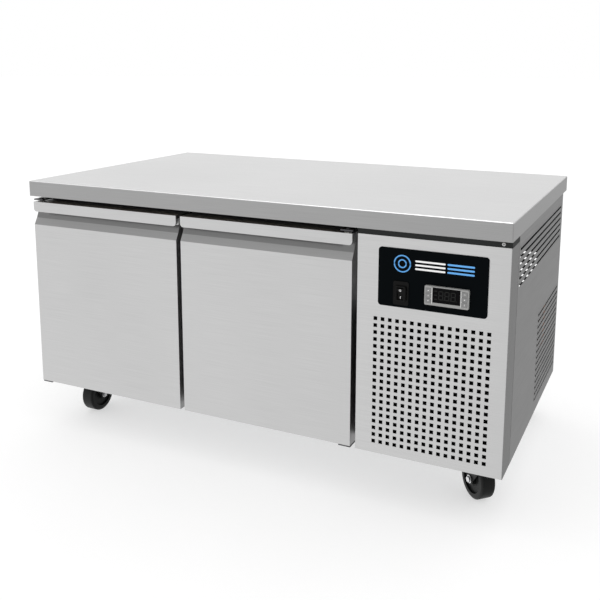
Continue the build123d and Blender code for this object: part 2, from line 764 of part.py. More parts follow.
def controller_body():
    x, z = controller_place()
    front = plate_face - CONTROLLER_PROUD
    size = (CONTROLLER_WIDTH, CONTROLLER_HEIGHT)
    body = rounded_plate((x, z), size, CONTROLLER_CORNER, (front, plate_face))
    body = fillet(body.edges().group_by(Axis.Y)[0], CONTROLLER_CORNER / 2)
    body += block(
        (x - CONTROLLER_CASE_WIDTH / 2, x + CONTROLLER_CASE_WIDTH / 2),
        (plate_face, plate_face + CONTROLLER_CASE_DEPTH),
        (z - CONTROLLER_CASE_HEIGHT / 2, z + CONTROLLER_CASE_HEIGHT / 2),
    )
    window_seat = front + WINDOW_SINK + WINDOW_THICKNESS
    body -= block(
        (x - WINDOW_WIDTH / 2, x + WINDOW_WIDTH / 2),
        (front, window_seat),
        window_span(z),
    )
    half_width = KEY_WIDTH / 2 + KEY_CLEARANCE
    half_height = KEY_HEIGHT / 2 + KEY_CLEARANCE
    pockets = [
        block((kx - half_width, kx + half_width), (front, front + KEY_POCKET), (kz - half_height, kz + half_height))
        for kx, kz in key_places()
    ]
    return body - pockets


def controller_window():
    x, z = controller_place()
    front = plate_face - CONTROLLER_PROUD + WINDOW_SINK
    return block(
        (x - WINDOW_WIDTH / 2, x + WINDOW_WIDTH / 2),
        (front, front + WINDOW_THICKNESS),
        window_span(z),
    )


# ------------------------------------------------------------------ doors
# A door is drawn with its hinge edge at X = 0 and its free edge at X = door_width.
def door_outer():
    """Outer form: a slab with a grip hollow across its front under the top lip."""
    outline = [
        (face, door_bottom),
        (face, lip_bottom - GRIP_DROP),
        (face + GRIP_FOLD_DEPTH, lip_bottom - GRIP_FOLD_DROP),
        (face + GRIP_DEPTH, lip_bottom),
        (face, lip_bottom),
        (face, door_top),
        (door_back, door_top),
        (door_back, door_bottom),
    ]
    slab = prism_x(outline, (0, door_width))
    lip_ends = [
        edge
        for edge in slab.edges().filter_by(Axis.Y)
        if abs(edge.center().Z - lip_bottom) < DOOR_SHEET and edge.center().Y < face + GRIP_DEPTH
    ]
    slab = fillet(lip_ends, LIP_CORNER_RADIUS)
    behind_lip = block(
        (GRIP_END_BLOCK, door_width),
        (face + LIP_THICKNESS, face + GRIP_DEPTH),
        (lip_bottom, lip_bottom + GRIP_RISE),
    )
    return slab - behind_lip


def door_inside():
    """Space inside the outer sheet, filled by the door's foam and inner panel."""
    wide = (DOOR_SHEET, door_width - DOOR_SHEET)
    space = block(
        wide,
        (face + DOOR_SHEET, door_back),
        (door_bottom + DOOR_SHEET, door_top - DOOR_SHEET),
    )
    hollow_depth = GRIP_DEPTH + 2 * DOOR_SHEET
    grip = [
        (face, lip_bottom - GRIP_DROP - DOOR_SHEET),
        (face + DOOR_SHEET, lip_bottom - GRIP_DROP - DOOR_SHEET),
        (face + GRIP_FOLD_DEPTH + DOOR_SHEET, lip_bottom - GRIP_FOLD_DROP - DOOR_SHEET),
        (face + hollow_depth, lip_bottom - DOOR_SHEET),
        (face + hollow_depth, lip_bottom + GRIP_RISE + DOOR_SHEET),
        (face, lip_bottom + GRIP_RISE + DOOR_SHEET),
    ]
    return space - prism_x(grip, wide)


def pan(shrink, y_span):
    margin = GASKET_INSET + GASKET_WIDTH + PAN_MARGIN + shrink
    form = block((margin, door_width - margin), y_span, (door_bottom + margin, door_top - margin))
    return fillet(form.edges().filter_by(Axis.Y), PAN_ROUND)


def pan_outer():
    return pan(0, (door_back - DOOR_SHEET, door_back + PAN_RAISE))


def pan_inside():
    return pan(DOOR_SHEET, (door_back - DOOR_SHEET, door_back + PAN_RAISE - DOOR_SHEET))


def bush_spans():
    """Heights of the top and the bottom hinge bush."""
    return (door_top - BUSH_LENGTH, door_top), (door_bottom, door_bottom + BUSH_LENGTH)


def bush_bodies():
    return [column((PIN_INSET, hinge_y), span, BUSH_DIAMETER) for span in bush_spans()]


def door_shell():
    return door_outer() - door_inside() - bush_bodies()


def door_inner_panel():
    wide = (DOOR_SHEET, door_width - DOOR_SHEET)
    tall = (door_bottom + DOOR_SHEET, door_top - DOOR_SHEET)
    sheet = block(wide, (door_back - DOOR_SHEET, door_back), tall)
    return sheet + pan_outer() - pan_inside()


def door_foam():
    behind = block(
        (0, door_width), (door_back - DOOR_SHEET, door_back), (door_bottom, door_top)
    )
    return door_inside() - behind + pan_inside() - bush_bodies()


def door_gasket():
    deep = (door_back, frame_plane - GASKET_CLEARANCE)
    outer = block(
        (GASKET_INSET, door_width - GASKET_INSET),
        deep,
        (door_bottom + GASKET_INSET, door_top - GASKET_INSET),
    )
    inner_edge = GASKET_INSET + GASKET_WIDTH
    hole = block(
        (inner_edge, door_width - inner_edge),
        deep,
        (door_bottom + inner_edge, door_top - inner_edge),
    )
    ring = outer - hole
    return fillet(ring.edges().group_by(Axis.Y)[-1], GASKET_ROUND)


def door_bushes():
    """Two flanged plastic bushes, bored for the hinge pins."""
    bore = column(
        (PIN_INSET, hinge_y),
        (door_bottom - BUSH_FLANGE, door_top + BUSH_FLANGE),
        PIN_DIAMETER + 2 * RUNNING_CLEARANCE,
    )
    upper_span, lower_span = bush_spans()
    upper = column((PIN_INSET, hinge_y), upper_span, BUSH_DIAMETER)
    upper += column((PIN_INSET, hinge_y), (door_top, door_top + BUSH_FLANGE), BUSH_FLANGE_DIAMETER)
    lower = column((PIN_INSET, hinge_y), lower_span, BUSH_DIAMETER)
    lower += column((PIN_INSET, hinge_y), (door_bottom - BUSH_FLANGE, door_bottom), BUSH_FLANGE_DIAMETER)
    return [upper - bore, lower - bore]


def place_door(side, piece):
    """Put a door piece at the left or, mirrored, at the right opening."""
    if side == "left":
        return Pos(left, 0, 0) * piece
    return Pos(panel_left - DOOR_GAP, 0, 0) * mirror(piece, about=Plane.YZ)


# ------------------------------------------------------------------ hinge brackets
def hinge_pin_x(side):
    if side == "left":
        return left + PIN_INSET
    return panel_left - DOOR_GAP - PIN_INSET


def hinge_bracket(side, upper):
    """Angle bracket on the frame with its riveted pin."""
    x = hinge_pin_x(side)
    up = 1 if upper else -1
    near = door_top + TOP_BRACKET_GAP if upper else door_bottom - BOTTOM_BRACKET_GAP
    far = near + up * BRACKET_THICKNESS
    wide = (x - BRACKET_WIDTH / 2, x + BRACKET_WIDTH / 2)
    shelf = block(wide, (hinge_y - BRACKET_REACH, frame_plane), sorted((near, far)))
    leg_end = near - up * BRACKET_LEG
    leg = block(wide, (frame_plane - BRACKET_THICKNESS, frame_plane), sorted((far, leg_end)))
    gap = TOP_BRACKET_GAP if upper else BOTTOM_BRACKET_GAP
    tip = near - up * (gap + BUSH_LENGTH - PIN_END_GAP)
    pin = column((x, hinge_y), sorted((far, tip)), PIN_DIAMETER)
    head = column((x, hinge_y), sorted((far, far + up * PIN_HEAD)), PIN_HEAD_DIAMETER)
    return shelf + leg + pin + head


def hinge_brackets():
    return [hinge_bracket(side, upper) for side in ("left", "right") for upper in (True, False)]


# ------------------------------------------------------------------ fans
def blades(centre, diameter, hub_diameter, hub_length):
    """Axial fan along Y with pitched blades and the shaft that runs in the motor."""
    x, y, z = centre
    root_chord = hub_diameter * 0.75
    tip_chord = diameter * 0.36
    inner = hub_diameter / 2 - FAN_BLADE_THICKNESS
    outline = Polyline(
        (inner, -root_chord / 2),
        (diameter / 2, -tip_chord / 2),
        (diameter / 2, tip_chord / 2),
        (inner, root_chord / 2),
        close=True,
    )
    blade = extrude(Plane.XZ * make_face(outline), FAN_BLADE_THICKNESS / 2, both=True)
    blade = blade.rotate(Axis.X, FAN_PITCH_ANGLE)
    rotor = rod((0, -hub_length / 2, 0), (0, hub_length / 2, 0), hub_diameter)
    for turn in range(FAN_BLADES):
        rotor += blade.rotate(Axis.Y, 360 / FAN_BLADES * turn)
    rotor = rotor & rod((0, -diameter, 0), (0, diameter, 0), diameter)
    reach = hub_length / 2 + FAN_MOTOR_GAP + FAN_SHAFT_IN_MOTOR
    rotor += rod((0, 0, 0), (0, reach, 0), FAN_SHAFT_DIAMETER)
    return Pos(x, y, z) * rotor


def motor(centre, hub_length, diameter, length, opening, wall_y):
    """Fan motor on two arms that stand off the wall the fan turns in."""
    x, y, z = centre
    front = y + hub_length / 2 + FAN_MOTOR_GAP
    body = rod((x, front, z), (x, front + length, z), diameter)
    body = fillet(body.edges().group_by(Axis.Y)[-1], diameter / 10)
    reach = opening / 2 + MOTOR_ARM_REACH
    arm_back = front + length / 2
    body += block(
        (x - reach, x + reach),
        (arm_back - MOTOR_ARM, arm_back),
        (z - MOTOR_ARM_WIDTH / 2, z + MOTOR_ARM_WIDTH / 2),
    )
    for side in (-1, 1):
        foot = sorted((x + side * reach, x + side * (reach - MOTOR_ARM)))
        body += block(foot, (wall_y, arm_back), (z - MOTOR_ARM_WIDTH / 2, z + MOTOR_ARM_WIDTH / 2))
    bore = FAN_SHAFT_DIAMETER + 2 * RUNNING_CLEARANCE
    depth = FAN_SHAFT_IN_MOTOR + PIN_END_GAP
    return body - rod((x, front, z), (x, front + depth, z), bore)


def hot_fan_centre():
    return unit_centre, shroud_back - HOT_HUB_LENGTH / 4, hot_fan_z


def cold_fan_centre():
    return mullion_centre, housing_front + COLD_HUB_LENGTH / 4, cold_fan_z


def fan_motors():
    hot = motor(
        hot_fan_centre(),
        HOT_HUB_LENGTH,
        HOT_MOTOR_DIAMETER,
        HOT_MOTOR_LENGTH,
        HOT_FAN_OPENING,
        shroud_back,
    )
    cold = motor(
        cold_fan_centre(),
        COLD_HUB_LENGTH,
        COLD_MOTOR_DIAMETER,
        COLD_MOTOR_LENGTH,
        COLD_FAN_OPENING - 2 * MOTOR_ARM_REACH,
        housing_front + SHEET,
    )
    return [hot, cold]


# ------------------------------------------------------------------ coils
def finned_block(x_span, y_span, z_span, core):
    """Finned core: upright fins across X on both faces of a flat core."""
    middle = (y_span[0] + y_span[1]) / 2
    body = block(x_span, (middle - core / 2, middle + core / 2), z_span)
    count = int((x_span[1] - x_span[0] - FIN_THICKNESS) // FIN_PITCH) + 1
    first = (x_span[0] + x_span[1]) / 2 - FIN_PITCH * (count - 1) / 2
    plane = Plane(origin=(0, 0, z_span[0]))
    comb = Sketch() + [
        Pos(first + FIN_PITCH * i, middle) * Rectangle(FIN_THICKNESS, y_span[1] - y_span[0])
        for i in range(count)
    ]
    return body + extrude(plane * comb, z_span[1] - z_span[0])


def return_bends(x, side, y, z_span):
    """U bends on one end of a coil."""
    count = int((z_span[1] - z_span[0] - 2 * BEND_PITCH) // BEND_PITCH)
    bends = []
    for row in range(0, count, 2):
        z = z_span[0] + BEND_PITCH * (row + 2.5)
        section = Plane(origin=(x, y, z - BEND_PITCH / 2), z_dir=(1, 0, 0)) * Circle(BEND_DIAMETER / 2)
        bends.append(revolve(section, Axis((x, y, z), (0, -side, 0)), 180))
    return bends


def condenser_coil():
    wide = (coil_left + COIL_END_PLATE, coil_right - COIL_END_PLATE)
    deep = (coil_front, coil_back)
    tall = (coil_bottom, coil_top)
    coil = finned_block(wide, deep, tall, COIL_CORE)
    coil += block((coil_left, wide[0]), deep, (unit_floor, coil_top))
    coil += block((wide[1], coil_right), deep, (unit_floor, coil_top))
    for bend in return_bends(coil_left, -1, (coil_front + coil_back) / 2, tall):
        coil += bend
    return coil


def evaporator_coil():
    wide = (housing_left + COLD_COIL_GAP, housing_right - COLD_COIL_GAP)
    behind = cavity_back - COLD_COIL_BACK_GAP
    deep = (behind - COLD_COIL_LENGTH, behind)
    bottom = housing_bottom + SHEET
    return finned_block(wide, deep, (bottom, bottom + COLD_COIL_HEIGHT), COLD_COIL_LENGTH / 2)


def condenser_shroud():
    box = block((coil_left, coil_right), (coil_back, shroud_back), (coil_bottom, coil_top))
    hollow = block(
        (coil_left + SHEET, coil_right - SHEET),
        (coil_back, shroud_back - SHEET),
        (coil_bottom + SHEET, coil_top - SHEET),
    )
    x, _, z = hot_fan_centre()
    ring = rod((x, shroud_back - SHROUD_DEPTH / 2, z), (x, shroud_back, z), HOT_FAN_OPENING + 2 * SHEET)
    opening = rod((x, coil_back, z), (x, shroud_back, z), HOT_FAN_OPENING)
    return box - hollow + ring - opening


def evaporator_housing():
    """Sheet cover round the evaporator, with the fan opening in front and slots at its sides."""
    box = block((housing_left, housing_right), (housing_front, cavity_back), (housing_bottom, housing_top))
    hollow = block(
        (housing_left + SHEET, housing_right - SHEET),
        (housing_front + SHEET, cavity_back),
        (housing_bottom + SHEET, housing_top - SHEET),
    )
    x, y, z = cold_fan_centre()
    opening = rod((x, housing_front - SHEET, z), (x, housing_front + 2 * SHEET, z), COLD_FAN_OPENING)
    behind = cavity_back - COLD_COIL_BACK_GAP
    slots = [
        block(
            (housing_left - SHEET, housing_right + SHEET),
            (behind - HOUSING_SLOT_LENGTH, behind),
            (slot_z, slot_z + HOUSING_SLOT),
        )
        for slot_z in [housing_bottom + HOUSING_SLOT_PITCH * (row + 1) for row in range(HOUSING_SLOTS)]
    ]
    return box - hollow - opening - slots


# ------------------------------------------------------------------ condensing unit
def unit_base_plate():
    wide = (partition + UNIT_PLATE_GAP, right - SHEET - UNIT_PLATE_GAP)
    deep = (frame_plane + UNIT_PLATE_GAP, back - SHEET - UNIT_PLATE_GAP)
    tray = block(wide, deep, (base + SHEET, base + SHEET + UNIT_PLATE_RIM))
    hollow = block(
        (wide[0] + UNIT_PLATE, wide[1] - UNIT_PLATE),
        (deep[0] + UNIT_PLATE, deep[1] - UNIT_PLATE),
        (unit_floor, base + SHEET + UNIT_PLATE_RIM),
    )
    return tray - hollow


def compressor_port(side, height):
    """Flat end of a port: left is suction, right is discharge."""
    reach = COMPRESSOR_DIAMETER / 2 + PORT_LENGTH
    return unit_centre + side * reach, compressor_y, compressor_floor + height


def compressor():
    centre = (unit_centre, compressor_y)
    tall = (compressor_floor, compressor_floor + COMPRESSOR_HEIGHT)
    shell = column(centre, tall, COMPRESSOR_DIAMETER)
    shell = fillet(shell.edges().filter_by(GeomType.CIRCLE), COMPRESSOR_DOME)
    seam = compressor_floor + COMPRESSOR_HEIGHT / 2
    shell += column(centre, (seam, seam + COMPRESSOR_SEAM_HEIGHT), COMPRESSOR_DIAMETER + 2 * COMPRESSOR_SEAM)
    foot = (compressor_floor - COMPRESSOR_FOOT, compressor_floor)
    half_length = COMPRESSOR_FOOT_LENGTH / 2
    half_width = COMPRESSOR_FOOT_WIDTH / 2
    shell += block(
        (unit_centre - half_length, unit_centre + half_length),
        (compressor_y - half_width, compressor_y + half_width),
        foot,
    )
    for side_x in (-1, 1):
        for side_y in (-1, 1):
            place = (
                unit_centre + side_x * (half_length - COMPRESSOR_RUBBER_DIAMETER / 2),
                compressor_y + side_y * (half_width - COMPRESSOR_RUBBER_DIAMETER / 2),
            )
            shell += column(place, (unit_floor, foot[0]), COMPRESSOR_RUBBER_DIAMETER)
    for side, height in ((1, DISCHARGE_PORT_HEIGHT), (-1, SUCTION_PORT_HEIGHT)):
        end = compressor_port(side, height)
        shell += rod((unit_centre, end[1], end[2]), end, PORT_DIAMETER)
    front = compressor_y - COMPRESSOR_DIAMETER / 2 - TERMINAL_DEPTH
    shell += block(
        (unit_centre - TERMINAL_WIDTH / 2, unit_centre + TERMINAL_WIDTH / 2),
        (front, compressor_y),
        (seam - TERMINAL_HEIGHT / 2, seam + TERMINAL_HEIGHT / 2),
    )
    return shell


def electrical_box():
    upper = top - SHEET - ELECTRIC_BOX_TOP_GAP
    wide = (partition, partition + ELECTRIC_BOX_DEPTH)
    middle = (frame_plane + back) / 2
    deep = (middle - ELECTRIC_BOX_LENGTH / 2, middle + ELECTRIC_BOX_LENGTH / 2)
    tall = (upper - ELECTRIC_BOX_HEIGHT, upper)
    box = block(wide, deep, tall)
    lid = block(
        (wide[1], wide[1] + ELECTRIC_BOX_LID),
        (deep[0] - ELECTRIC_BOX_LID, deep[1] + ELECTRIC_BOX_LID),
        (tall[0] - ELECTRIC_BOX_LID, tall[1] + ELECTRIC_BOX_LID),
    )
    return box + lid


def power_inlet():
    """Three-pin appliance inlet in the back panel."""
    flange = rounded_plate(
        (inlet_x, inlet_z), (INLET_FLANGE_WIDTH, INLET_FLANGE_HEIGHT), INLET_FLANGE, (back, back + INLET_FLANGE)
    )
    body = flange + block(
        (inlet_x - INLET_BODY_WIDTH / 2, inlet_x + INLET_BODY_WIDTH / 2),
        (back - INLET_BODY_DEPTH, back),
        (inlet_z - INLET_BODY_HEIGHT / 2, inlet_z + INLET_BODY_HEIGHT / 2),
    )
    floor = back + INLET_FLANGE - INLET_SOCKET_DEPTH
    body -= block(
        (inlet_x - INLET_SOCKET_WIDTH / 2, inlet_x + INLET_SOCKET_WIDTH / 2),
        (floor, back + INLET_FLANGE),
        (inlet_z - INLET_SOCKET_HEIGHT / 2, inlet_z + INLET_SOCKET_HEIGHT / 2),
    )
    for offset, rise in ((-INLET_PIN_PITCH, 0), (0, INLET_EARTH_RISE), (INLET_PIN_PITCH, 0)):
        x, z = inlet_x + offset, inlet_z + rise
        body += block(
            (x - INLET_PIN_WIDTH / 2, x + INLET_PIN_WIDTH / 2),
            (floor - INLET_PIN_WIDTH, floor + INLET_PIN_LENGTH),
            (z - INLET_PIN_HEIGHT / 2, z + INLET_PIN_HEIGHT / 2),
        )
    return body


# ------------------------------------------------------------------ refrigerant lines
def wall_line_y():
    """The two lines cross the insulated back wall in its middle."""
    return (cavity_back + back) / 2


def in_wall_route(rise, start):
    """Route from the machine space through the back wall to the evaporator's back."""
    z = base + rise
    y = wall_line_y()
    behind_coil = cavity_back - COLD_COIL_BACK_GAP
    return [start, (partition + LINE_WALL_GAP, y, z), (mullion_centre, y, z), (mullion_centre, behind_coil, z)]


def suction_route():
    x, y, z = compressor_port(-1, SUCTION_PORT_HEIGHT)
    route = in_wall_route(SUCTION_LINE_HEIGHT, (x, y, z))
    riser = partition + LINE_WALL_GAP
    wall_y = wall_line_y()
    line_z = base + SUCTION_LINE_HEIGHT
    return [(x, y, z), (riser, y, z), (riser, y, line_z), (riser, wall_y, line_z), *route[2:]]


def liquid_route():
    """From the drier's back end up and through the back wall."""
    x, y, z = drier_axis()
    line_z = base + LIQUID_LINE_HEIGHT
    wall_y = wall_line_y()
    behind_coil = cavity_back - COLD_COIL_BACK_GAP
    return [
        (x, y + DRIER_LENGTH, z),
        (x, wall_y, z),
        (x, wall_y, line_z),
        (mullion_centre, wall_y, line_z),
        (mullion_centre, behind_coil, line_z),
    ]


def drier_axis():
    """Front end of the filter drier, beside the left wall of the machine space."""
    return partition + LINE_WALL_GAP, coil_back + DRIER_START, unit_floor + UNIT_PLATE_RIM + DRIER_DIAMETER


def coil_middle_y():
    return (coil_front + coil_back) / 2


def line_channels(gap):
    """Clearance for the lines where they pass through partition, foam and liner."""
    diameter = LINE_DIAMETER + 2 * gap
    channels = []
    for rise in (SUCTION_LINE_HEIGHT, LIQUID_LINE_HEIGHT):
        z = base + rise
        y = wall_line_y()
        points = [
            (partition + LINE_WALL_GAP, y, z),
            (mullion_centre, y, z),
            (mullion_centre, cavity_back - LINE_DIAMETER, z),
        ]
        channels.append(pipe(points, diameter, LINE_BEND))
    return channels


def refrigerant_lines():
    """Discharge, condenser outlet, drier, liquid and suction lines."""
    discharge_start = compressor_port(1, DISCHARGE_PORT_HEIGHT)
    side_x = right - SHEET - LINE_WALL_GAP
    coil_inlet_z = coil_top - BEND_PITCH / 2
    discharge = pipe(
        [
            discharge_start,
            (side_x, compressor_y, discharge_start[2]),
            (side_x, compressor_y, coil_inlet_z),
            (side_x, coil_middle_y(), coil_inlet_z),
            (coil_right, coil_middle_y(), coil_inlet_z),
        ],
        LINE_DIAMETER,
        SHORT_BEND,
    )
    drier_x, drier_y, drier_z = drier_axis()
    outlet = pipe(
        [(coil_left, coil_middle_y(), drier_z), (drier_x, coil_middle_y(), drier_z), (drier_x, drier_y, drier_z)],
        LINE_DIAMETER,
        SHORT_BEND,
    )
    drier = rod((drier_x, drier_y, drier_z), (drier_x, drier_y + DRIER_LENGTH, drier_z), DRIER_DIAMETER)
    drier = fillet(drier.edges().filter_by(GeomType.CIRCLE), DRIER_DIAMETER / 4)
    liquid = pipe(liquid_route(), LINE_DIAMETER, LINE_BEND)
    suction = pipe(suction_route(), LINE_DIAMETER, LINE_BEND)
    return [discharge, outlet, drier, liquid, suction]


# ------------------------------------------------------------------ shelves
def compartments():
    """X spans of the two compartments beside the evaporator housing."""
    return (cavity_left, housing_left), (housing_right, cavity_right)


def shelf_supports():
    rail_top = cavity_bottom + SHELF_HEIGHT
    deep = (housing_front, cavity_back)
    rails = []
    for low, high in compartments():
        for wall, inward in ((low, 1), (high, -1)):
            upright = block(
                sorted((wall, wall + inward * SHELF_RAIL_SHEET)), deep, (rail_top - SHELF_RAIL, rail_top)
            )
            ledge = block(
                sorted((wall, wall + inward * SHELF_RAIL)), deep, (rail_top - SHELF_RAIL_SHEET, rail_top)
            )
            rails.append(upright + ledge)
    return rails


def wire_shelf(x_span):
    """Welded wire shelf lying on its two rails."""
    z = cavity_bottom + SHELF_HEIGHT + SHELF_FRAME_ROD / 2
    inset = SHELF_SIDE_GAP + SHELF_FRAME_ROD / 2
    low, high = x_span[0] + inset, x_span[1] - inset
    front = frame_plane + SHELF_FRONT_GAP
    rear = cavity_back - SHELF_BACK_GAP
    shelf = rod((low, front, z), (low, rear, z), SHELF_FRAME_ROD)
    shelf += rod((high, front, z), (high, rear, z), SHELF_FRAME_ROD)
    for y in (front, (front + rear) / 2, rear):
        shelf += rod((low, y, z), (high, y, z), SHELF_FRAME_ROD)
    shelf += [Pos(x, y, z) * Sphere(SHELF_FRAME_ROD / 2) for x in (low, high) for y in (front, rear)]
    count = int((high - low) // SHELF_WIRE_PITCH)
    first = (low + high) / 2 - SHELF_WIRE_PITCH * (count - 1) / 2
    for i in range(count):
        x = first + SHELF_WIRE_PITCH * i
        shelf += rod((x, front, z), (x, rear, z), SHELF_WIRE)
    return shelf


# ------------------------------------------------------------------ casters
def caster_places():
    return {
        "front_left": (left + CASTER_SIDE_INSET, frame_plane + CASTER_FRONT_INSET),
        "front_right": (right - CASTER_SIDE_INSET, frame_plane + CASTER_FRONT_INSET),
        "rear_left": (left + CASTER_SIDE_INSET, back - CASTER_BACK_INSET),
        "rear_right": (right - CASTER_SIDE_INSET, back - CASTER_BACK_INSET),
    }


def caster_plate(place):
    """Top plate, upper ball race and riveted kingpin."""
    x, y = place
    plate = block(
        (x - CASTER_PLATE_LENGTH / 2, x + CASTER_PLATE_LENGTH / 2),
        (y - CASTER_PLATE_WIDTH / 2, y + CASTER_PLATE_WIDTH / 2),
        (base - CASTER_PLATE, base),
    )
    for side_x in (-1, 1):
        for side_y in (-1, 1):
            at = (x + side_x * CASTER_BOLT_X / 2, y + side_y * CASTER_BOLT_Y / 2)
            plate -= column(at, (base - CASTER_PLATE, base), CASTER_BOLT_HOLE)
    plate += column(place, (race_z, base - CASTER_PLATE), RACE_DIAMETER)
    head_top = crown_bottom - RACE_GAP
    plate += column(place, (head_top, race_z), KINGPIN_DIAMETER)
    plate += column(place, (head_top - KINGPIN_HEAD, head_top), KINGPIN_HEAD_DIAMETER)
    return plate


def caster_fork():
    """Swivel fork about X = Y = 0 with the wheel trailing towards +Y, its axle riveted in."""
    crown_top = crown_bottom + CROWN
    inner = WHEEL_WIDTH / 2 + FORK_SIDE_GAP
    outer = inner + FORK_SHEET
    fork = column((0, 0), (crown_top, race_z - RACE_GAP), RACE_DIAMETER)
    fork += block((-outer, outer), (-CROWN_HALF_LENGTH, CROWN_HALF_LENGTH), (crown_bottom, crown_top))
    half_boss = FORK_BOSS_DIAMETER / 2
    leg = [
        (-CROWN_HALF_LENGTH, crown_top),
        (-CROWN_HALF_LENGTH, crown_bottom - CROWN),
        (TRAIL - half_boss, axle_z),
        (TRAIL + half_boss, axle_z),
        (TRAIL + half_boss, crown_bottom - CROWN),
        (CROWN_HALF_LENGTH, crown_top),
    ]
    for x_span in ((-outer, -inner), (inner, outer)):
        fork += prism_x(leg, x_span)
        fork += rod((x_span[0], TRAIL, axle_z), (x_span[1], TRAIL, axle_z), FORK_BOSS_DIAMETER)
    fork += rod((-outer - AXLE_HEAD, TRAIL, axle_z), (outer + AXLE_HEAD, TRAIL, axle_z), AXLE_DIAMETER)
    for side in (-1, 1):
        head = (side * outer, TRAIL, axle_z), (side * (outer + AXLE_HEAD), TRAIL, axle_z)
        fork += rod(*head, AXLE_HEAD_DIAMETER)
    return fork - column((0, 0), (crown_bottom, race_z), KINGPIN_DIAMETER + 2 * RUNNING_CLEARANCE)


def caster_wheel():
    """Wheel with a rounded tread and dished sides, bored for the axle."""
    half = WHEEL_WIDTH / 2
    wheel = rod((-half, TRAIL, axle_z), (half, TRAIL, axle_z), wheel_diameter)
    wheel = fillet(wheel.edges().filter_by(GeomType.CIRCLE), WHEEL_ROUND)
    dish = wheel_diameter - 2 * TREAD_THICKNESS
    for side in (-1, 1):
        ring = rod((side * (half - WHEEL_DISH), TRAIL, axle_z), (side * half, TRAIL, axle_z), dish)
        wheel -= ring
    wheel += rod((-HUB_WIDTH / 2, TRAIL, axle_z), (HUB_WIDTH / 2, TRAIL, axle_z), HUB_DIAMETER)
    bore = AXLE_DIAMETER + 2 * RUNNING_CLEARANCE
    return wheel - rod((-HUB_WIDTH, TRAIL, axle_z), (HUB_WIDTH, TRAIL, axle_z), bore)


def place_caster(name, piece):
    x, y = caster_places()[name]
    return Pos(x, y, 0) * Rot(0, 0, CASTER_TURN[name]) * piece


# ------------------------------------------------------------------ write every node
back_vent_rows = min(
    BACK_VENTS,
    int((top - BACK_SCREW_INSET - base - BACK_VENT_BASE - BACK_VENT_PITCH) // BACK_VENT_PITCH),
)

write("worktop", [worktop()])
write("worktop_core", [worktop_core()])
write("cabinet_top_panel", [cabinet_top_panel()])
write("left_side_panel", [left_side_panel()])
write("right_side_panel", [right_side_panel()])
write("back_panel", [back_panel()])
write("base_panel", [base_panel()])
write("partition_panel", [partition_panel()])
write("insulation_foam", [insulation_foam()])
write("inner_liner", inner_liner())
write("breaker_frame", breaker_frame())
write("mullion", [mullion()])
write("top_trim", top_trim())
write("screws", screws())

write("front_panel", [front_panel()])
write("control_plate", [control_plate()])
write("switch_bezel", [switch_bezel()])
write("switch_rocker", [rocker()])
write("controller_body", [controller_body()])
write("controller_window", [controller_window()])
for number, place in enumerate(key_places(), start=1):
    write(f"controller_key_{number}", [key(place)])

for side in ("left", "right"):
    write(f"door_{side}_shell", [place_door(side, door_shell())])
    write(f"door_{side}_inner_panel", [place_door(side, door_inner_panel())])
    write(f"door_{side}_foam", [place_door(side, door_foam())])
    write(f"door_{side}_gasket", [place_door(side, door_gasket())])
    write(f"door_{side}_bushes", [place_door(side, bush) for bush in door_bushes()])
write("hinge_brackets", hinge_brackets())

write("evaporator_housing", [evaporator_housing()])
write("evaporator_coil", [evaporator_coil()])
write("evaporator_fan", [blades(cold_fan_centre(), COLD_FAN_DIAMETER, COLD_HUB_DIAMETER, COLD_HUB_LENGTH)])
write("fan_motors", fan_motors())
write("wire_shelves", [wire_shelf(span) for span in compartments()])
write("shelf_supports", shelf_supports())

write("unit_base_plate", [unit_base_plate()])
write("compressor", [compressor()])
write("condenser_coil", [condenser_coil()])
write("condenser_shroud", [condenser_shroud()])
write("condenser_fan", [blades(hot_fan_centre(), HOT_FAN_DIAMETER, HOT_HUB_DIAMETER, HOT_HUB_LENGTH)])
write("refrigerant_lines", refrigerant_lines())
write("electrical_box", [electrical_box()])
write("power_inlet", [power_inlet()])

write("caster_plates", [caster_plate(place) for place in caster_places().values()])
for name in CASTER_TURN:
    write(f"caster_fork_{name}", [place_caster(name, caster_fork())])
    write(f"caster_wheel_{name}", [place_caster(name, caster_wheel())])
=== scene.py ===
import json
import math

import bmesh
import bpy
from mathutils import Matrix, Vector


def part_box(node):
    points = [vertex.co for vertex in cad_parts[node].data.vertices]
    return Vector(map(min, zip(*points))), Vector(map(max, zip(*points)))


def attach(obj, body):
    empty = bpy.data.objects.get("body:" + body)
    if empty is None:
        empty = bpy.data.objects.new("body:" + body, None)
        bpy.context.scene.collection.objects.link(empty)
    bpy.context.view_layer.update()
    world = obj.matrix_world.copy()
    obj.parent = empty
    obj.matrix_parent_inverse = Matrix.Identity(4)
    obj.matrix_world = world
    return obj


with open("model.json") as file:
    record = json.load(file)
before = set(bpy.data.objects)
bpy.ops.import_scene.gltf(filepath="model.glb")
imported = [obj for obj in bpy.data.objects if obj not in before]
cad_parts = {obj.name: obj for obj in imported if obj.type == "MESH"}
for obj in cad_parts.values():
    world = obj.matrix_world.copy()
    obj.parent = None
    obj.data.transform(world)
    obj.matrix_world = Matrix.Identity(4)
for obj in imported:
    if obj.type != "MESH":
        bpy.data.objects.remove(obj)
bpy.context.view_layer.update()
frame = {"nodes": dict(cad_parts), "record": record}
nodes = frame["nodes"]
MM = 0.001


# ------------------------------------------------------------------ camera
CAMERA_PLACE = (0.890, -1.861, 0.953)
CAMERA_YAW = 24.61
CAMERA_PITCH = 9.89
CAMERA_ROLL = 0.32
FOCAL_SHARE = 809.9 / 600  # focal length over the frame's width
SENSOR_WIDTH = 36.0
SHIFT_X = -0.0333
SHIFT_Y = -0.1667


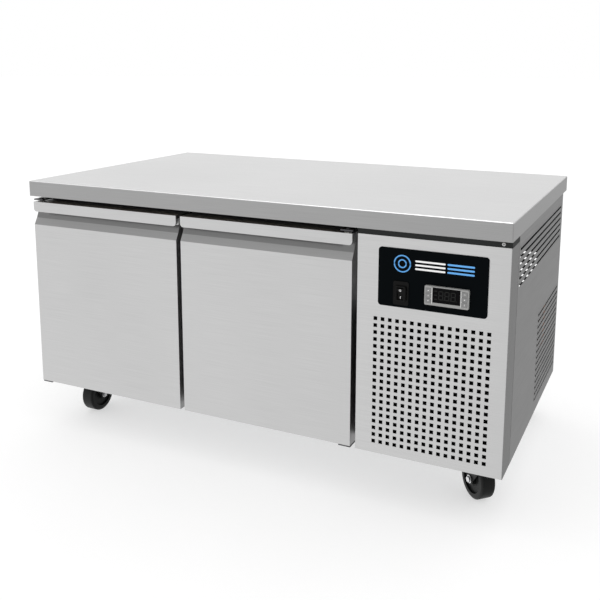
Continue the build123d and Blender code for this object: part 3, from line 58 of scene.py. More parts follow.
def make_camera():
    data = bpy.data.cameras.new("camera")
    data.sensor_width = SENSOR_WIDTH
    data.lens = FOCAL_SHARE * SENSOR_WIDTH
    data.shift_x = SHIFT_X
    data.shift_y = SHIFT_Y
    camera = bpy.data.objects.new("camera", data)
    yaw = Matrix.Rotation(math.radians(CAMERA_YAW), 4, "Z")
    tilt = Matrix.Rotation(math.radians(90 - CAMERA_PITCH), 4, "X")
    roll = Matrix.Rotation(math.radians(CAMERA_ROLL), 4, "Z")
    camera.matrix_world = Matrix.Translation(CAMERA_PLACE) @ yaw @ tilt @ roll
    bpy.context.scene.collection.objects.link(camera)
    bpy.context.scene.camera = camera


# ------------------------------------------------------------------ light and floor
ROOM_LEFT = 1.18  # brightness of the mirrored room to the left of the object
ROOM_RIGHT = 0.50
ROOM_CEILING = 3.4  # times the brightness lower down
ROOM_UPPER_FRONT = 0.50  # times the brightness elsewhere
SIDES_FADE = (-0.15, 0.40)  # X of the direction from all left to all right
UPPER_FADE = (0.05, 0.35)  # Z from low to upper
FRONT_FADE = (-0.25, 0.15)  # Y from front to back
CEILING_FADE = (0.75, 0.95)  # Z from upper to ceiling
FLOOR_RADIUS = 40.0
FLOOR_SIDES = 96
FLOOR_GLOW = 0.52
FLOOR_TONES = (0.56, 0.57)
FLOOR_ROUGHNESS = (0.88, 0.95)
FLOOR_DUST = 3.0  # noise scale


def make_world():
    """White studio whose mirrored room is bright overhead, dim on the right and in the upper front."""
    world = bpy.data.worlds.new("studio")
    bpy.context.scene.world = world
    world.use_nodes = True
    tree = world.node_tree
    tree.nodes.clear()
    coordinate = tree.nodes.new("ShaderNodeTexCoord")
    split = tree.nodes.new("ShaderNodeSeparateXYZ")
    tree.links.new(coordinate.outputs["Generated"], split.inputs["Vector"])

    def ramp(source, between, to):
        node = tree.nodes.new("ShaderNodeMapRange")
        node.interpolation_type = "SMOOTHSTEP"
        node.inputs["From Min"].default_value, node.inputs["From Max"].default_value = between
        node.inputs["To Min"].default_value, node.inputs["To Max"].default_value = to
        tree.links.new(source, node.inputs["Value"])
        return node.outputs["Result"]

    def combine(operation, first, second):
        node = tree.nodes.new("ShaderNodeMath")
        node.operation = operation
        for value, socket in zip((first, second), node.inputs):
            if isinstance(value, float):
                socket.default_value = value
            else:
                tree.links.new(value, socket)
        return node.outputs["Value"]

    sideways = ramp(split.outputs["X"], SIDES_FADE, (ROOM_LEFT, ROOM_RIGHT))
    risen = ramp(split.outputs["Z"], UPPER_FADE, (0.0, 1.0))
    frontal = ramp(split.outputs["Y"], FRONT_FADE, (ROOM_UPPER_FRONT - 1.0, 0.0))
    dimmed = combine("ADD", combine("MULTIPLY", risen, frontal), 1.0)
    ceiling = ramp(split.outputs["Z"], CEILING_FADE, (1.0, ROOM_CEILING))
    strength = combine("MULTIPLY", combine("MULTIPLY", sideways, dimmed), ceiling)
    mirrored = tree.nodes.new("ShaderNodeBackground")
    tree.links.new(strength, mirrored.inputs["Strength"])
    white = tree.nodes.new("ShaderNodeBackground")
    white.inputs["Color"].default_value = (1, 1, 1, 1)
    path = tree.nodes.new("ShaderNodeLightPath")
    mix = tree.nodes.new("ShaderNodeMixShader")
    tree.links.new(path.outputs["Is Glossy Ray"], mix.inputs["Fac"])
    tree.links.new(white.outputs["Background"], mix.inputs[1])
    tree.links.new(mirrored.outputs["Background"], mix.inputs[2])
    output = tree.nodes.new("ShaderNodeOutputWorld")
    tree.links.new(mix.outputs["Shader"], output.inputs["Surface"])


def make_floor():
    mesh = bpy.data.meshes.new("floor")
    shape = bmesh.new()
    bmesh.ops.create_circle(shape, cap_ends=True, segments=FLOOR_SIDES, radius=FLOOR_RADIUS)
    shape.to_mesh(mesh)
    shape.free()
    floor = bpy.data.objects.new("floor", mesh)
    bpy.context.scene.collection.objects.link(floor)
    shade = Shade("studio_floor")
    shade.fixed(Metallic=0.0, Specular_IOR_Level=0.0)
    shade.fixed(Emission_Strength=FLOOR_GLOW, Emission_Color=(1, 1, 1, 1))
    dust = shade.noise(FLOOR_DUST)
    shade.colour(shade.blend(shade.spread(dust, 0.0, 1.0), *(grey(tone) for tone in FLOOR_TONES)))
    shade.roughness(shade.spread(dust, *FLOOR_ROUGHNESS))
    floor.data.materials.append(shade.material)
    floor.visible_glossy = False


# ------------------------------------------------------------------ material building blocks
NOISE_SPAN = (0.3, 0.7)  # where most of a noise texture's values lie


class Shade:
    """A node tree under construction, with its Principled shader."""

    def __init__(self, name):
        self.material = bpy.data.materials.new(name)
        self.material.use_nodes = True
        self.tree = self.material.node_tree
        self.shader = self.tree.nodes["Principled BSDF"]

    def node(self, kind, **settings):
        made = self.tree.nodes.new(kind)
        for key, value in settings.items():
            setattr(made, key, value)
        return made

    def link(self, output, target):
        self.tree.links.new(output, target)

    def fixed(self, **values):
        for key, value in values.items():
            self.shader.inputs[key.replace("_", " ")].default_value = value

    def noise(self, scale, stretch=(1, 1, 1), detail=3.0):
        """Noise over the object's own metres, stretched per axis; returns its value output."""
        place = self.node("ShaderNodeTexCoord")
        mapping = self.node("ShaderNodeMapping")
        mapping.inputs["Scale"].default_value = stretch
        self.link(place.outputs["Object"], mapping.inputs["Vector"])
        texture = self.node("ShaderNodeTexNoise")
        texture.inputs["Scale"].default_value = scale
        texture.inputs["Detail"].default_value = detail
        self.link(mapping.outputs["Vector"], texture.inputs["Vector"])
        return texture.outputs["Fac"]

    def spread(self, value, low, high):
        """Map a noise value onto a range."""
        ramp = self.node("ShaderNodeMapRange")
        ramp.inputs["From Min"].default_value, ramp.inputs["From Max"].default_value = NOISE_SPAN
        ramp.inputs["To Min"].default_value = low
        ramp.inputs["To Max"].default_value = high
        self.link(value, ramp.inputs["Value"])
        return ramp.outputs["Result"]

    def blend(self, factor, first, second):
        """Mix two colours, each a tuple or an output, by a factor output."""
        mix = self.node("ShaderNodeMix", data_type="RGBA")
        self.link(factor, mix.inputs["Factor"])
        for socket, colour in ((mix.inputs["A"], first), (mix.inputs["B"], second)):
            if isinstance(colour, tuple):
                socket.default_value = (*colour, 1)
            else:
                self.link(colour, socket)
        return mix.outputs["Result"]

    def colour(self, output):
        self.link(output, self.shader.inputs["Base Color"])

    def roughness(self, output):
        self.link(output, self.shader.inputs["Roughness"])

    def bump(self, height, strength, distance):
        bump = self.node("ShaderNodeBump")
        bump.inputs["Strength"].default_value = strength
        bump.inputs["Distance"].default_value = distance
        self.link(height, bump.inputs["Height"])
        self.link(bump.outputs["Normal"], self.shader.inputs["Normal"])


def grey(value):
    return (value, value, value)


GRAIN = 700.0
GRAIN_STRETCH = {"X": (0.012, 1, 1), "Y": (1, 0.012, 1)}
GRAIN_DARKENING = 0.06
DRIFT = 2.2  # scale of the slow change in tone
DRIFT_DARKENING = 0.04
ZONE_SOFTNESS = 0.03


def facing(shade, axis):
    """How squarely a surface faces along an axis of the object, 0 to 1."""
    normal = shade.node("ShaderNodeTexCoord")
    split = shade.node("ShaderNodeSeparateXYZ")
    shade.link(normal.outputs["Normal"], split.inputs["Vector"])
    size = shade.node("ShaderNodeMath", operation="ABSOLUTE")
    shade.link(split.outputs[axis], size.inputs[0])
    return size.outputs["Value"]


def zone(shade, value, low, high, soft):
    """1 where a value lies between two limits, fading out over a soft width."""
    rise = shade.node("ShaderNodeMapRange", interpolation_type="SMOOTHSTEP")
    fall = shade.node("ShaderNodeMapRange", interpolation_type="SMOOTHSTEP")
    for node, start, end in ((rise, low - soft, low + soft), (fall, high + soft, high - soft)):
        node.inputs["From Min"].default_value = start
        node.inputs["From Max"].default_value = end
        shade.link(value, node.inputs["Value"])
    both = shade.node("ShaderNodeMath", operation="MULTIPLY")
    shade.link(rise.outputs["Result"], both.inputs[0])
    shade.link(fall.outputs["Result"], both.inputs[1])
    return both.outputs["Value"]


def brushed_steel(name, tone, along="X", roughness=0.38, painted_light_zones=()):
    """Satin stainless sheet with a fine brushed grain, slight tone drift, and painted light and shade by
    facing.

    A zone is (axis faced, least and most of that facing, tone): the tone paints in the light or shade on
    surfaces facing that way."""
    shade = Shade(name)
    shade.fixed(Metallic=1.0)
    grain = shade.noise(GRAIN, GRAIN_STRETCH[along], 4.0)
    drift = shade.noise(DRIFT, (1, 1, 1), 2.0)
    colour = grey(tone)
    # painted light and shade: a surface facing along the zone's axis takes the zone's tone
    for axis, least, most, painted_tone in painted_light_zones:
        painted_light_mask = zone(shade, facing(shade, axis), least, most, ZONE_SOFTNESS)
        colour = shade.blend(painted_light_mask, colour, grey(painted_tone))
    grained = shade.blend(shade.spread(grain, 0.0, GRAIN_DARKENING), colour, grey(0.0))
    shade.colour(shade.blend(shade.spread(drift, 0.0, DRIFT_DARKENING), grained, grey(0.0)))
    shade.roughness(shade.spread(grain, roughness - 0.03, roughness + 0.05))
    shade.bump(grain, 0.10, 0.0002)
    return shade.material


def plain_metal(name, colour, roughness, spangle):
    """Zinc, aluminium, copper or chrome with a mottled surface."""
    shade = Shade(name)
    shade.fixed(Metallic=1.0)
    mottle = shade.noise(spangle, (1, 1, 1), 5.0)
    darker = tuple(c * 0.92 for c in colour)
    shade.colour(shade.blend(shade.spread(mottle, 0.0, 1.0), darker, colour))
    shade.roughness(shade.spread(mottle, roughness * 0.85, roughness * 1.15))
    shade.bump(shade.noise(spangle * 20), 0.05, 0.0003)
    return shade.material


def moulded(name, colour, roughness, pit=1500.0, depth=0.08, gloss=0.5):
    """Moulded plastic or rubber with a fine pitted skin."""
    shade = Shade(name)
    shade.fixed(Metallic=0.0, Specular_IOR_Level=gloss)
    pitting = shade.noise(pit, (1, 1, 1), 2.0)
    drift = shade.noise(25.0, (1, 1, 1), 3.0)
    lighter = tuple(min(1.0, c * 1.05) for c in colour)
    shade.colour(shade.blend(shade.spread(drift, 0.0, 1.0), colour, lighter))
    shade.roughness(shade.spread(pitting, roughness - 0.05, roughness + 0.07))
    shade.bump(pitting, depth, 0.0002)
    return shade.material


def foam_like(name, colour):
    shade = Shade(name)
    shade.fixed(Metallic=0.0)
    cells = shade.noise(300.0, (1, 1, 1), 6.0)
    shade.colour(shade.blend(shade.spread(cells, 0.0, 1.0), tuple(c * 0.8 for c in colour), colour))
    shade.roughness(shade.spread(cells, 0.85, 0.98))
    shade.bump(cells, 0.5, 0.001)
    return shade.material


def board_like(name, colour):
    """Sealed board with a faint long grain."""
    shade = Shade(name)
    shade.fixed(Metallic=0.0)
    grain = shade.noise(60.0, (0.05, 1, 1), 6.0)
    shade.colour(shade.blend(shade.spread(grain, 0.0, 1.0), tuple(c * 0.75 for c in colour), colour))
    shade.roughness(shade.spread(grain, 0.6, 0.75))
    shade.bump(grain, 0.2, 0.0004)
    return shade.material


# ------------------------------------------------------------------ finishes for the CAD nodes
SQUARE_ON = 0.97  # least facing of a flat that faces an axis
ANY_MORE = 1.5  # above every facing
# painted shade in the door's grip recess: its steeper faces at tone 0.36 and its shallower slope at 0.58,
# against 0.68 on the door face
GRIP_UPPER_PAINTED_SHADE = ("Z", 0.30, 0.42, 0.36)
GRIP_LOWER_PAINTED_SHADE = ("Z", 0.42, 0.62, 0.58)
DOOR_PAINTED_SHADE = (GRIP_UPPER_PAINTED_SHADE, GRIP_LOWER_PAINTED_SHADE)
# painted light on the worktop by facing: painted shade on the front edge (0.435) and the ends (0.65), and a
# painted highlight (1.0) on the rounded top edges, against 0.71 on the top
WORKTOP_FRONT_PAINTED_SHADE = ("Y", SQUARE_ON, ANY_MORE, 0.435)
WORKTOP_ENDS_PAINTED_SHADE = ("X", SQUARE_ON, ANY_MORE, 0.65)
WORKTOP_EDGE_PAINTED_HIGHLIGHT = ("Z", 0.25, 0.93, 1.0)
WORKTOP_PAINTED_LIGHT = (WORKTOP_FRONT_PAINTED_SHADE, WORKTOP_ENDS_PAINTED_SHADE, WORKTOP_EDGE_PAINTED_HIGHLIGHT)
# painted shade on stainless faces that face sideways, such as the front panel's return flanges: 0.34 against
# 0.70
PANEL_SIDEWAYS_PAINTED_SHADE = (("X", 0.9, ANY_MORE, 0.34),)


def make_finishes():
    return {
        "worktop": brushed_steel("worktop_steel", 0.71, "X", 0.38, WORKTOP_PAINTED_LIGHT),
        "door": brushed_steel("door_steel", 0.68, "X", 0.38, DOOR_PAINTED_SHADE),
        "panel": brushed_steel("panel_steel", 0.70, "X", 0.38, PANEL_SIDEWAYS_PAINTED_SHADE),
        # side panels' steel at tone 0.47, darker than the 0.70 front steel: painted shade for the sides
        # facing away from the light
        "side": brushed_steel("side_steel_painted_shade", 0.47, "Y", 0.42),
        "liner": brushed_steel("liner_steel", 0.66, "X", 0.36),
        "galvanised": plain_metal("galvanised_sheet", (0.55, 0.56, 0.57), roughness=0.45, spangle=90.0),
        # near-black sheet: black paint on the condenser coil, and on the unit base plate and condenser shroud
        # a dark tone that paints in the shade seen through the grille holes
        "black_sheet_and_grille_shade": plain_metal("black_sheet_and_grille_shade", (0.018, 0.018, 0.019), roughness=0.5, spangle=35.0),
        "board": board_like("worktop_board", (0.36, 0.30, 0.24)),
        "foam": foam_like("insulation", (0.80, 0.70, 0.42)),
        "frame": moulded("frame_plastic", (0.012, 0.014, 0.014), roughness=0.55, gloss=0.30),
        "control": moulded(
            "control_plate_film", (0.0012, 0.0022, 0.0029), roughness=0.42, pit=900.0, depth=0.03, gloss=0.03
        ),
        "switch": moulded("switch_plastic", (0.0035, 0.0035, 0.0035), roughness=0.38, gloss=0.12),
        "silver": moulded("silver_plastic", (0.30, 0.30, 0.295), roughness=0.38, pit=900.0, depth=0.10),
        "key": moulded("key_plastic", (0.21, 0.21, 0.21), roughness=0.45, pit=900.0, depth=0.10),
        "window": moulded(
            "dark_window", (0.0015, 0.0015, 0.0018), roughness=0.15, pit=3000.0, depth=0.0, gloss=0.06
        ),
        "inner": moulded("door_inner_plastic", (0.72, 0.73, 0.74), roughness=0.35),
        "gasket": moulded("gasket_rubber", (0.03, 0.03, 0.03), roughness=0.75),
        "nylon": moulded("nylon", (0.62, 0.62, 0.58), roughness=0.5),
        "screw": plain_metal("screw_steel", (0.55, 0.55, 0.55), roughness=0.25, spangle=200.0),
        # zinc darkened to tone 0.10: painted shade for the hinge brackets sitting in the shaded gaps round
        # the doors
        "zinc": plain_metal("zinc_plate_painted_shade", (0.10, 0.10, 0.105), roughness=0.40, spangle=60.0),
        "tyre": moulded(
            "caster_rubber", (0.005, 0.0055, 0.0055), roughness=0.48, pit=600.0, depth=0.15, gloss=0.3
        ),
        "fins": plain_metal("fin_aluminium", (0.55, 0.56, 0.57), roughness=0.4, spangle=90.0),
        "copper": plain_metal("copper_line", (0.62, 0.27, 0.14), roughness=0.35, spangle=30.0),
        "black_paint": moulded(
            "black_enamel", (0.006, 0.006, 0.006), roughness=0.35, pit=500.0, depth=0.1, gloss=0.25
        ),
        "fan": moulded("fan_plastic", (0.02, 0.02, 0.022), roughness=0.5),
        "white_print": moulded("white_print", (0.85, 0.85, 0.85), roughness=0.5),
        "blue_print": moulded("blue_print", (0.11, 0.39, 0.82), roughness=0.5),
        "dim_print": moulded("dim_print", (0.016, 0.017, 0.016), roughness=0.5, gloss=0.1),
        # near-black felt of the air filter; also stands in for the shade behind the grille holes
        "felt": moulded(
            "filter_felt_and_grille_shade", (0.0015, 0.0015, 0.0015), roughness=0.9, pit=400.0, depth=0.3, gloss=0.0
        ),
        "mark": moulded("key_mark", (0.75, 0.75, 0.74), roughness=0.5),
        "bright": plain_metal("bright_zinc", (0.78, 0.78, 0.79), roughness=0.22, spangle=120.0),
    }


FINISH_OF_SLOT = {
    "stainless": "panel",
    "galvanised_steel": "galvanised",
    "board": "board",
    "foam": "foam",
    "frame_plastic": "frame",
    "control_black": "control",
    "switch_black": "switch",
    "silver_plastic": "silver",
    "key_plastic": "key",
    "window": "window",
    "inner_panel": "inner",
    "gasket": "gasket",
    "nylon": "nylon",
    "screw_steel": "screw",
    "zinc": "zinc",
    "caster_rubber": "tyre",
    "fin_aluminium": "fins",
    "copper": "copper",
    "black_paint": "black_paint",
    "fan_plastic": "fan",
}
FINISH_OF_NODE = {
    "worktop": "worktop",
    "left_side_panel": "side",
    "right_side_panel": "side",
    "door_left_shell": "door",
    "door_right_shell": "door",
    "inner_liner": "liner",
    "evaporator_housing": "liner",
    "mullion": "liner",
    "shelf_supports": "liner",
    "cabinet_top_panel": "galvanised",
    # these three are darkened so the grille holes read as shade; the coil's black paint is real
    "unit_base_plate": "black_sheet_and_grille_shade",
    "condenser_shroud": "black_sheet_and_grille_shade",
    "condenser_coil": "black_sheet_and_grille_shade",
}


def dress_nodes():
    for subpart in frame["record"]["subparts"]:
        node = subpart["node"]
        finish = FINISH_OF_NODE.get(node, FINISH_OF_SLOT[subpart["material_slot"]])
        target = nodes[node]
        target.data.materials.clear()
        target.data.materials.append(finishes[finish])


# ------------------------------------------------------------------ mesh building blocks
def new_piece(name, shape, body, finish, smooth=True):
    """Turn a bmesh into an object that rides on a body and wears a finish."""
    bmesh.ops.recalc_face_normals(shape, faces=shape.faces)
    mesh = bpy.data.meshes.new(name)
    shape.to_mesh(mesh)
    shape.free()
    for face in mesh.polygons:
        face.use_smooth = smooth
    made = bpy.data.objects.new(name, mesh)
    bpy.context.scene.collection.objects.link(made)
    mesh.materials.append(finishes[finish])
    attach(made, body)


SLAB_SHOULDER = 0.7  # share of a slab's thickness below its bevel
SLAB_FACE = 0.94  # size of its face over the size of its foot


def add_slab(shape, outline, thickness, matrix):
    """Raised slab with a narrower face: an outline in X and Z, standing out along -Y."""
    centre = sum((Vector((x, 0, z)) for x, z in outline), Vector()) / len(outline)
    rings = []
    levels = ((0.0, 1.0), (-SLAB_SHOULDER * thickness, 1.0), (-thickness, SLAB_FACE))
    for depth, shrink in levels:
        ring = []
        for x, z in outline:
            place = centre + (Vector((x, 0, z)) - centre) * shrink + Vector((0, depth, 0))
            ring.append(shape.verts.new(matrix @ place))
        rings.append(ring)
    count = len(outline)
    for lower, upper in zip(rings, rings[1:]):
        for i in range(count):
            shape.faces.new((lower[i], lower[(i + 1) % count], upper[(i + 1) % count], upper[i]))
    shape.faces.new(rings[0])
    shape.faces.new(rings[-1])


def round_bar(start, end, width, steps=8):
    """Outline of a bar with round ends between two points in X and Z."""
    start, end = Vector(start), Vector(end)
    heading = math.atan2((end - start).y, (end - start).x)
    outline = []
    for centre, base in ((end, -math.pi / 2), (start, math.pi / 2)):
        for step in range(steps + 1):
            angle = heading + base + math.pi * step / steps
            outline.append((centre.x + width / 2 * math.cos(angle), centre.y + width / 2 * math.sin(angle)))
    return outline


def add_tube(shape, points, radius, closed=False, sides=8):
    """Round wire along points, as rings of vertices joined by faces."""
    rings = []
    count = len(points)
    for i, point in enumerate(points):
        before = points[i - 1] if closed or i else point
        after = points[(i + 1) % count] if closed or i < count - 1 else point
        turn = (Vector(after) - Vector(before)).to_track_quat("Z", "Y")
        ring = []
        for side in range(sides):
            angle = 2 * math.pi * side / sides
            offset = Vector((radius * math.cos(angle), radius * math.sin(angle), 0))
            ring.append(shape.verts.new(Vector(point) + turn @ offset))
        rings.append(ring)
    pairs = list(zip(rings, rings[1:]))
    if closed:
        pairs.append((rings[-1], rings[0]))
    for first, second in pairs:
        for side in range(sides):
            other = (side + 1) % sides
            shape.faces.new((first[side], first[other], second[other], second[side]))
    if not closed:
        shape.faces.new(rings[0])
        shape.faces.new(rings[-1])


def circle(centre, radius, axis, steps=48):
    """Points round a circle about an axis."""
    turn = Vector(axis).to_track_quat("Z", "Y")
    points = []
    for step in range(steps):
        angle = 2 * math.pi * step / steps
        points.append(Vector(centre) + turn @ Vector((radius * math.cos(angle), radius * math.sin(angle), 0)))
    return points


def add_turned(shape, profile, centre, axis, steps=32):
    """Body of revolution: a profile of (radius, height) along an axis from a centre."""
    turn = Vector(axis).to_track_quat("Z", "Y")
    rings = []
    for radius, height in profile:
        ring = []
        for step in range(steps):
            angle = 2 * math.pi * step / steps
            offset = Vector((radius * math.cos(angle), radius * math.sin(angle), height))
            ring.append(shape.verts.new(Vector(centre) + turn @ offset))
        rings.append(ring)
    for first, second in zip(rings, rings[1:]):
        for step in range(steps):
            other = (step + 1) % steps
            shape.faces.new((first[step], first[other], second[other], second[step]))
    shape.faces.new(rings[0])
    shape.faces.new(rings[-1])


def front_of(node, x, z):
    """Frame on a node's front surface at X, Z: -Y of the frame points out of the surface."""
    _, place, normal, _ = nodes[node].ray_cast(Vector((x, -1.0, z)), Vector((0, 1, 0)))
    turn = Vector((0, -1, 0)).rotation_difference(normal)
    return Matrix.Translation(place) @ turn.to_matrix().to_4x4()


def middle(node):
    low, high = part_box(node)
    return (Vector(low) + Vector(high)) / 2


# ------------------------------------------------------------------ control plate, switch and controller
PRINT = 0.12 * MM  # how far print stands out
EMBLEM_DROP = 0.25  # of the plate's height, below its top
RINGS_ACROSS = 0.226  # of the plate's width, from its left
RING_RADII = (8 * MM, 17 * MM)
RING_WIRE = 1.5 * MM
LINE_GROUPS = (("white", 0.353, 0.612, "white_print"), ("blue", 0.645, 0.87, "blue_print"))
LINE_PITCH = 8 * MM
LINE_WIDTH = 3.8 * MM


def control_emblem():
    """Plain generic emblem: two rings beside a group of white lines and a group of blue lines."""
    low, high = (Vector(corner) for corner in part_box("control_plate"))
    width = high.x - low.x
    line_z = high.z - EMBLEM_DROP * (high.z - low.z)
    seat = front_of("control_plate", low.x + RINGS_ACROSS * width, line_z)
    rings = bmesh.new()
    for radius in RING_RADII:
        points = [seat @ point for point in circle((0, -PRINT, 0), radius, (0, 1, 0))]
        add_tube(rings, points, RING_WIRE, closed=True, sides=6)
    new_piece("emblem_rings", rings, "cabinet", "blue_print")
    for name, start, end, finish in LINE_GROUPS:
        centre = low.x + (start + end) / 2 * width
        half = (end - start) / 2 * width
        lines = bmesh.new()
        for row in (-1, 0, 1):
            line = round_bar((-half, row * LINE_PITCH), (half, row * LINE_PITCH), LINE_WIDTH)
            add_slab(lines, line, PRINT, front_of("control_plate", centre, line_z))
        new_piece(f"emblem_{name}_lines", lines, "cabinet", finish, smooth=False)


MARK_FROM_CENTRE = 1.25  # quarters of the rocker's height
MARK_REACH = 2.0 * MM
MARK_RING_WIRE = 0.55 * MM
MARK_BAR_WIDTH = 1.3 * MM
MARK_BAR_RISE = 0.3 * MM


def rocker_marks():
    """White O and I on the two halves of the rocker."""
    low, high = (Vector(corner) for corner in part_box("switch_rocker"))
    x = (low.x + high.x) / 2
    quarter = (high.z - low.z) / 4
    centre_z = (low.z + high.z) / 2
    off = bmesh.new()
    seat = front_of("switch_rocker", x, centre_z + MARK_FROM_CENTRE * quarter)
    ring = circle((0, 0, 0), MARK_REACH, (0, 1, 0), 24)
    add_tube(off, [seat @ point for point in ring], MARK_RING_WIRE, closed=True, sides=6)
    new_piece("rocker_mark_o", off, "rocker", "white_print")
    on = bmesh.new()
    seat = front_of("switch_rocker", x, centre_z - MARK_FROM_CENTRE * quarter)
    add_slab(on, round_bar((0, -MARK_REACH), (0, MARK_REACH), MARK_BAR_WIDTH), MARK_BAR_RISE, seat)
    new_piece("rocker_mark_i", on, "rocker", "white_print", smooth=False)


DIGIT_UNITS = 7.5  # units in the window's height; a digit is 2 by 4 units
DIGIT_FIRST = 0.30  # of the window's width, from its left
DIGIT_PITCH = 0.22
SEGMENT_TRIM = 0.14  # share of a segment left off at each end
SEGMENT_WIDTH = 0.42  # units
DOT_WIDTH = 0.5
DOT_PLACE = (1.6, -2)
INDICATOR_ACROSS = 0.11  # of the window's width
DISPLAY_RISE = 0.05 * MM
SHORT = 0.01 * MM  # a round bar this short is a dot
DIGIT_SEGMENTS = (
    ((-1, 2), (1, 2)),
    ((-1, 0), (1, 0)),
    ((-1, -2), (1, -2)),
    ((-1, 0), (-1, 2)),
    ((1, 0), (1, 2)),
    ((-1, -2), (-1, 0)),
    ((1, -2), (1, 0)),
)


def display_digits():
    """Unlit seven-segment digits with points, and indicator bars, in the dark window."""
    low, high = (Vector(corner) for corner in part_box("controller_window"))
    width = high.x - low.x
    centre = (low + high) / 2
    unit = (high.z - low.z) / DIGIT_UNITS
    digits = bmesh.new()
    for column in range(3):
        x = low.x + width * (DIGIT_FIRST + DIGIT_PITCH * column)
        seat = front_of("controller_window", x, centre.z)
        for start, end in DIGIT_SEGMENTS:
            line = Vector(end) - Vector(start)
            begin = (Vector(start) + line * SEGMENT_TRIM) * unit
            finish = (Vector(end) - line * SEGMENT_TRIM) * unit
            add_slab(digits, round_bar(begin, finish, SEGMENT_WIDTH * unit, 4), DISPLAY_RISE, seat)
        dot = Vector(DOT_PLACE) * unit
        dot_end = (dot.x + SHORT, dot.y)
        add_slab(digits, round_bar(dot, dot_end, DOT_WIDTH * unit, 4), DISPLAY_RISE, seat)
    for row in (-2, 0, 2):
        seat = front_of("controller_window", low.x + INDICATOR_ACROSS * width, centre.z + row * unit)
        reach = DOT_WIDTH * unit
        add_slab(digits, round_bar((-reach, 0), (reach, 0), reach, 4), DISPLAY_RISE, seat)
    new_piece("display_digits", digits, "cabinet", "dim_print", smooth=False)


KEY_MARK = 1.5 * MM  # from a mark's centre to its end
KEY_MARK_BAR = 0.9 * MM
KEY_MARK_DOT = 2.0 * MM
KEY_MARK_RISE = 0.15 * MM
ARROW_FOOT = 0.7  # from its centre to its foot, over the distance to its tip


def key_marks():
    """Small raised generic marks: arrows, bars, a dot and a diamond, one per key."""
    size = KEY_MARK
    foot = -ARROW_FOOT * size
    arrow_up = [(-size, foot), (size, foot), (0, size)]
    arrow_down = [(x, -z) for x, z in reversed(arrow_up)]
    bar = round_bar((-size, 0), (size, 0), KEY_MARK_BAR, 4)
    upright = round_bar((0, -size), (0, size), KEY_MARK_BAR, 4)
    dot = round_bar((0, 0), (SHORT, 0), KEY_MARK_DOT, 6)
    diamond = [(0, -size), (size, 0), (0, size), (-size, 0)]
    for key, outline in enumerate((arrow_up, dot, arrow_down, bar, diamond, upright), start=1):
        node = f"controller_key_{key}"
        place = middle(node)
        mark = bmesh.new()
        add_slab(mark, outline, KEY_MARK_RISE, front_of(node, place.x, place.z))
        new_piece(f"key_{key}_mark", mark, f"key_{key}", "mark", smooth=False)


RIDGE_GAP = 1.3 * MM  # ridge centre to the window's edge
RIDGE_WIDTH = 0.9 * MM
RIDGE_RISE = 0.35 * MM
TICK_LENGTH = 2.2 * MM
TICK_WIDTH = 0.7 * MM
TICK_RISE = 0.3 * MM


def controller_ridges():
    """Bright raised ridge along each side of the window, with ticks between the keys."""
    low, high = (Vector(corner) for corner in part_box("controller_window"))
    ridges = bmesh.new()
    keys = [middle(f"controller_key_{key}") for key in (1, 2, 3)]
    for x, outward in ((low.x - RIDGE_GAP, -1), (high.x + RIDGE_GAP, 1)):
        seat = front_of("controller_body", x, keys[1].z)
        reach = (high.z - low.z) / 2
        add_slab(ridges, round_bar((0, -reach), (0, reach), RIDGE_WIDTH), RIDGE_RISE, seat)
        for upper, lower in zip(keys, keys[1:]):
            z = (upper.z + lower.z) / 2 - keys[1].z
            tick = round_bar((0, z), (outward * TICK_LENGTH, z), TICK_WIDTH)
            add_slab(ridges, tick, TICK_RISE, seat)
    new_piece("controller_ridges", ridges, "cabinet", "mark", smooth=False)


# ------------------------------------------------------------------ screws
RECESS_REACH = 2.0 * MM
RECESS_WIDTH = 0.9 * MM
RECESS_RISE = 0.05 * MM


def screw_recess_painted_shade():
    """Dark crosses on the heads of the case screws: painted shade standing in for their cross recesses, as
    thin raised marks.
    """
    crosses = bmesh.new()
    strokes = (((-RECESS_REACH, 0), (RECESS_REACH, 0)), ((0, -RECESS_REACH), (0, RECESS_REACH)))
    for island in islands(nodes["screws"].data):
        low = Vector([min(point[i] for point in island) for i in range(3)])
        high = Vector([max(point[i] for point in island) for i in range(3)])
        centre = (low + high) / 2
        if centre.y < 0:
            seat = Matrix.Translation((centre.x, low.y, centre.z))
        else:
            turn = Matrix.Rotation(math.pi, 4, "Z")
            seat = Matrix.Translation((centre.x, high.y, centre.z)) @ turn
        for start, end in strokes:
            add_slab(crosses, round_bar(start, end, RECESS_WIDTH, 4), RECESS_RISE, seat)
    new_piece("screw_recess_painted_shade", crosses, "cabinet", "switch", smooth=False)


def islands(mesh):
    """Connected groups of a mesh's vertices; those at the same place count as one."""
    leader = list(range(len(mesh.vertices)))

    def find(i):
        while leader[i] != i:
            leader[i] = leader[leader[i]]
            i = leader[i]
        return i

    for edge in mesh.edges:
        a, b = (find(i) for i in edge.vertices)
        leader[a] = b
    seen = {}
    for vertex in mesh.vertices:
        key = tuple(round(c, 5) for c in vertex.co)
        other = seen.setdefault(key, vertex.index)
        leader[find(vertex.index)] = find(other)
    groups = {}
    for vertex in mesh.vertices:
        groups.setdefault(find(vertex.index), []).append(vertex.co.copy())
    return list(groups.values())


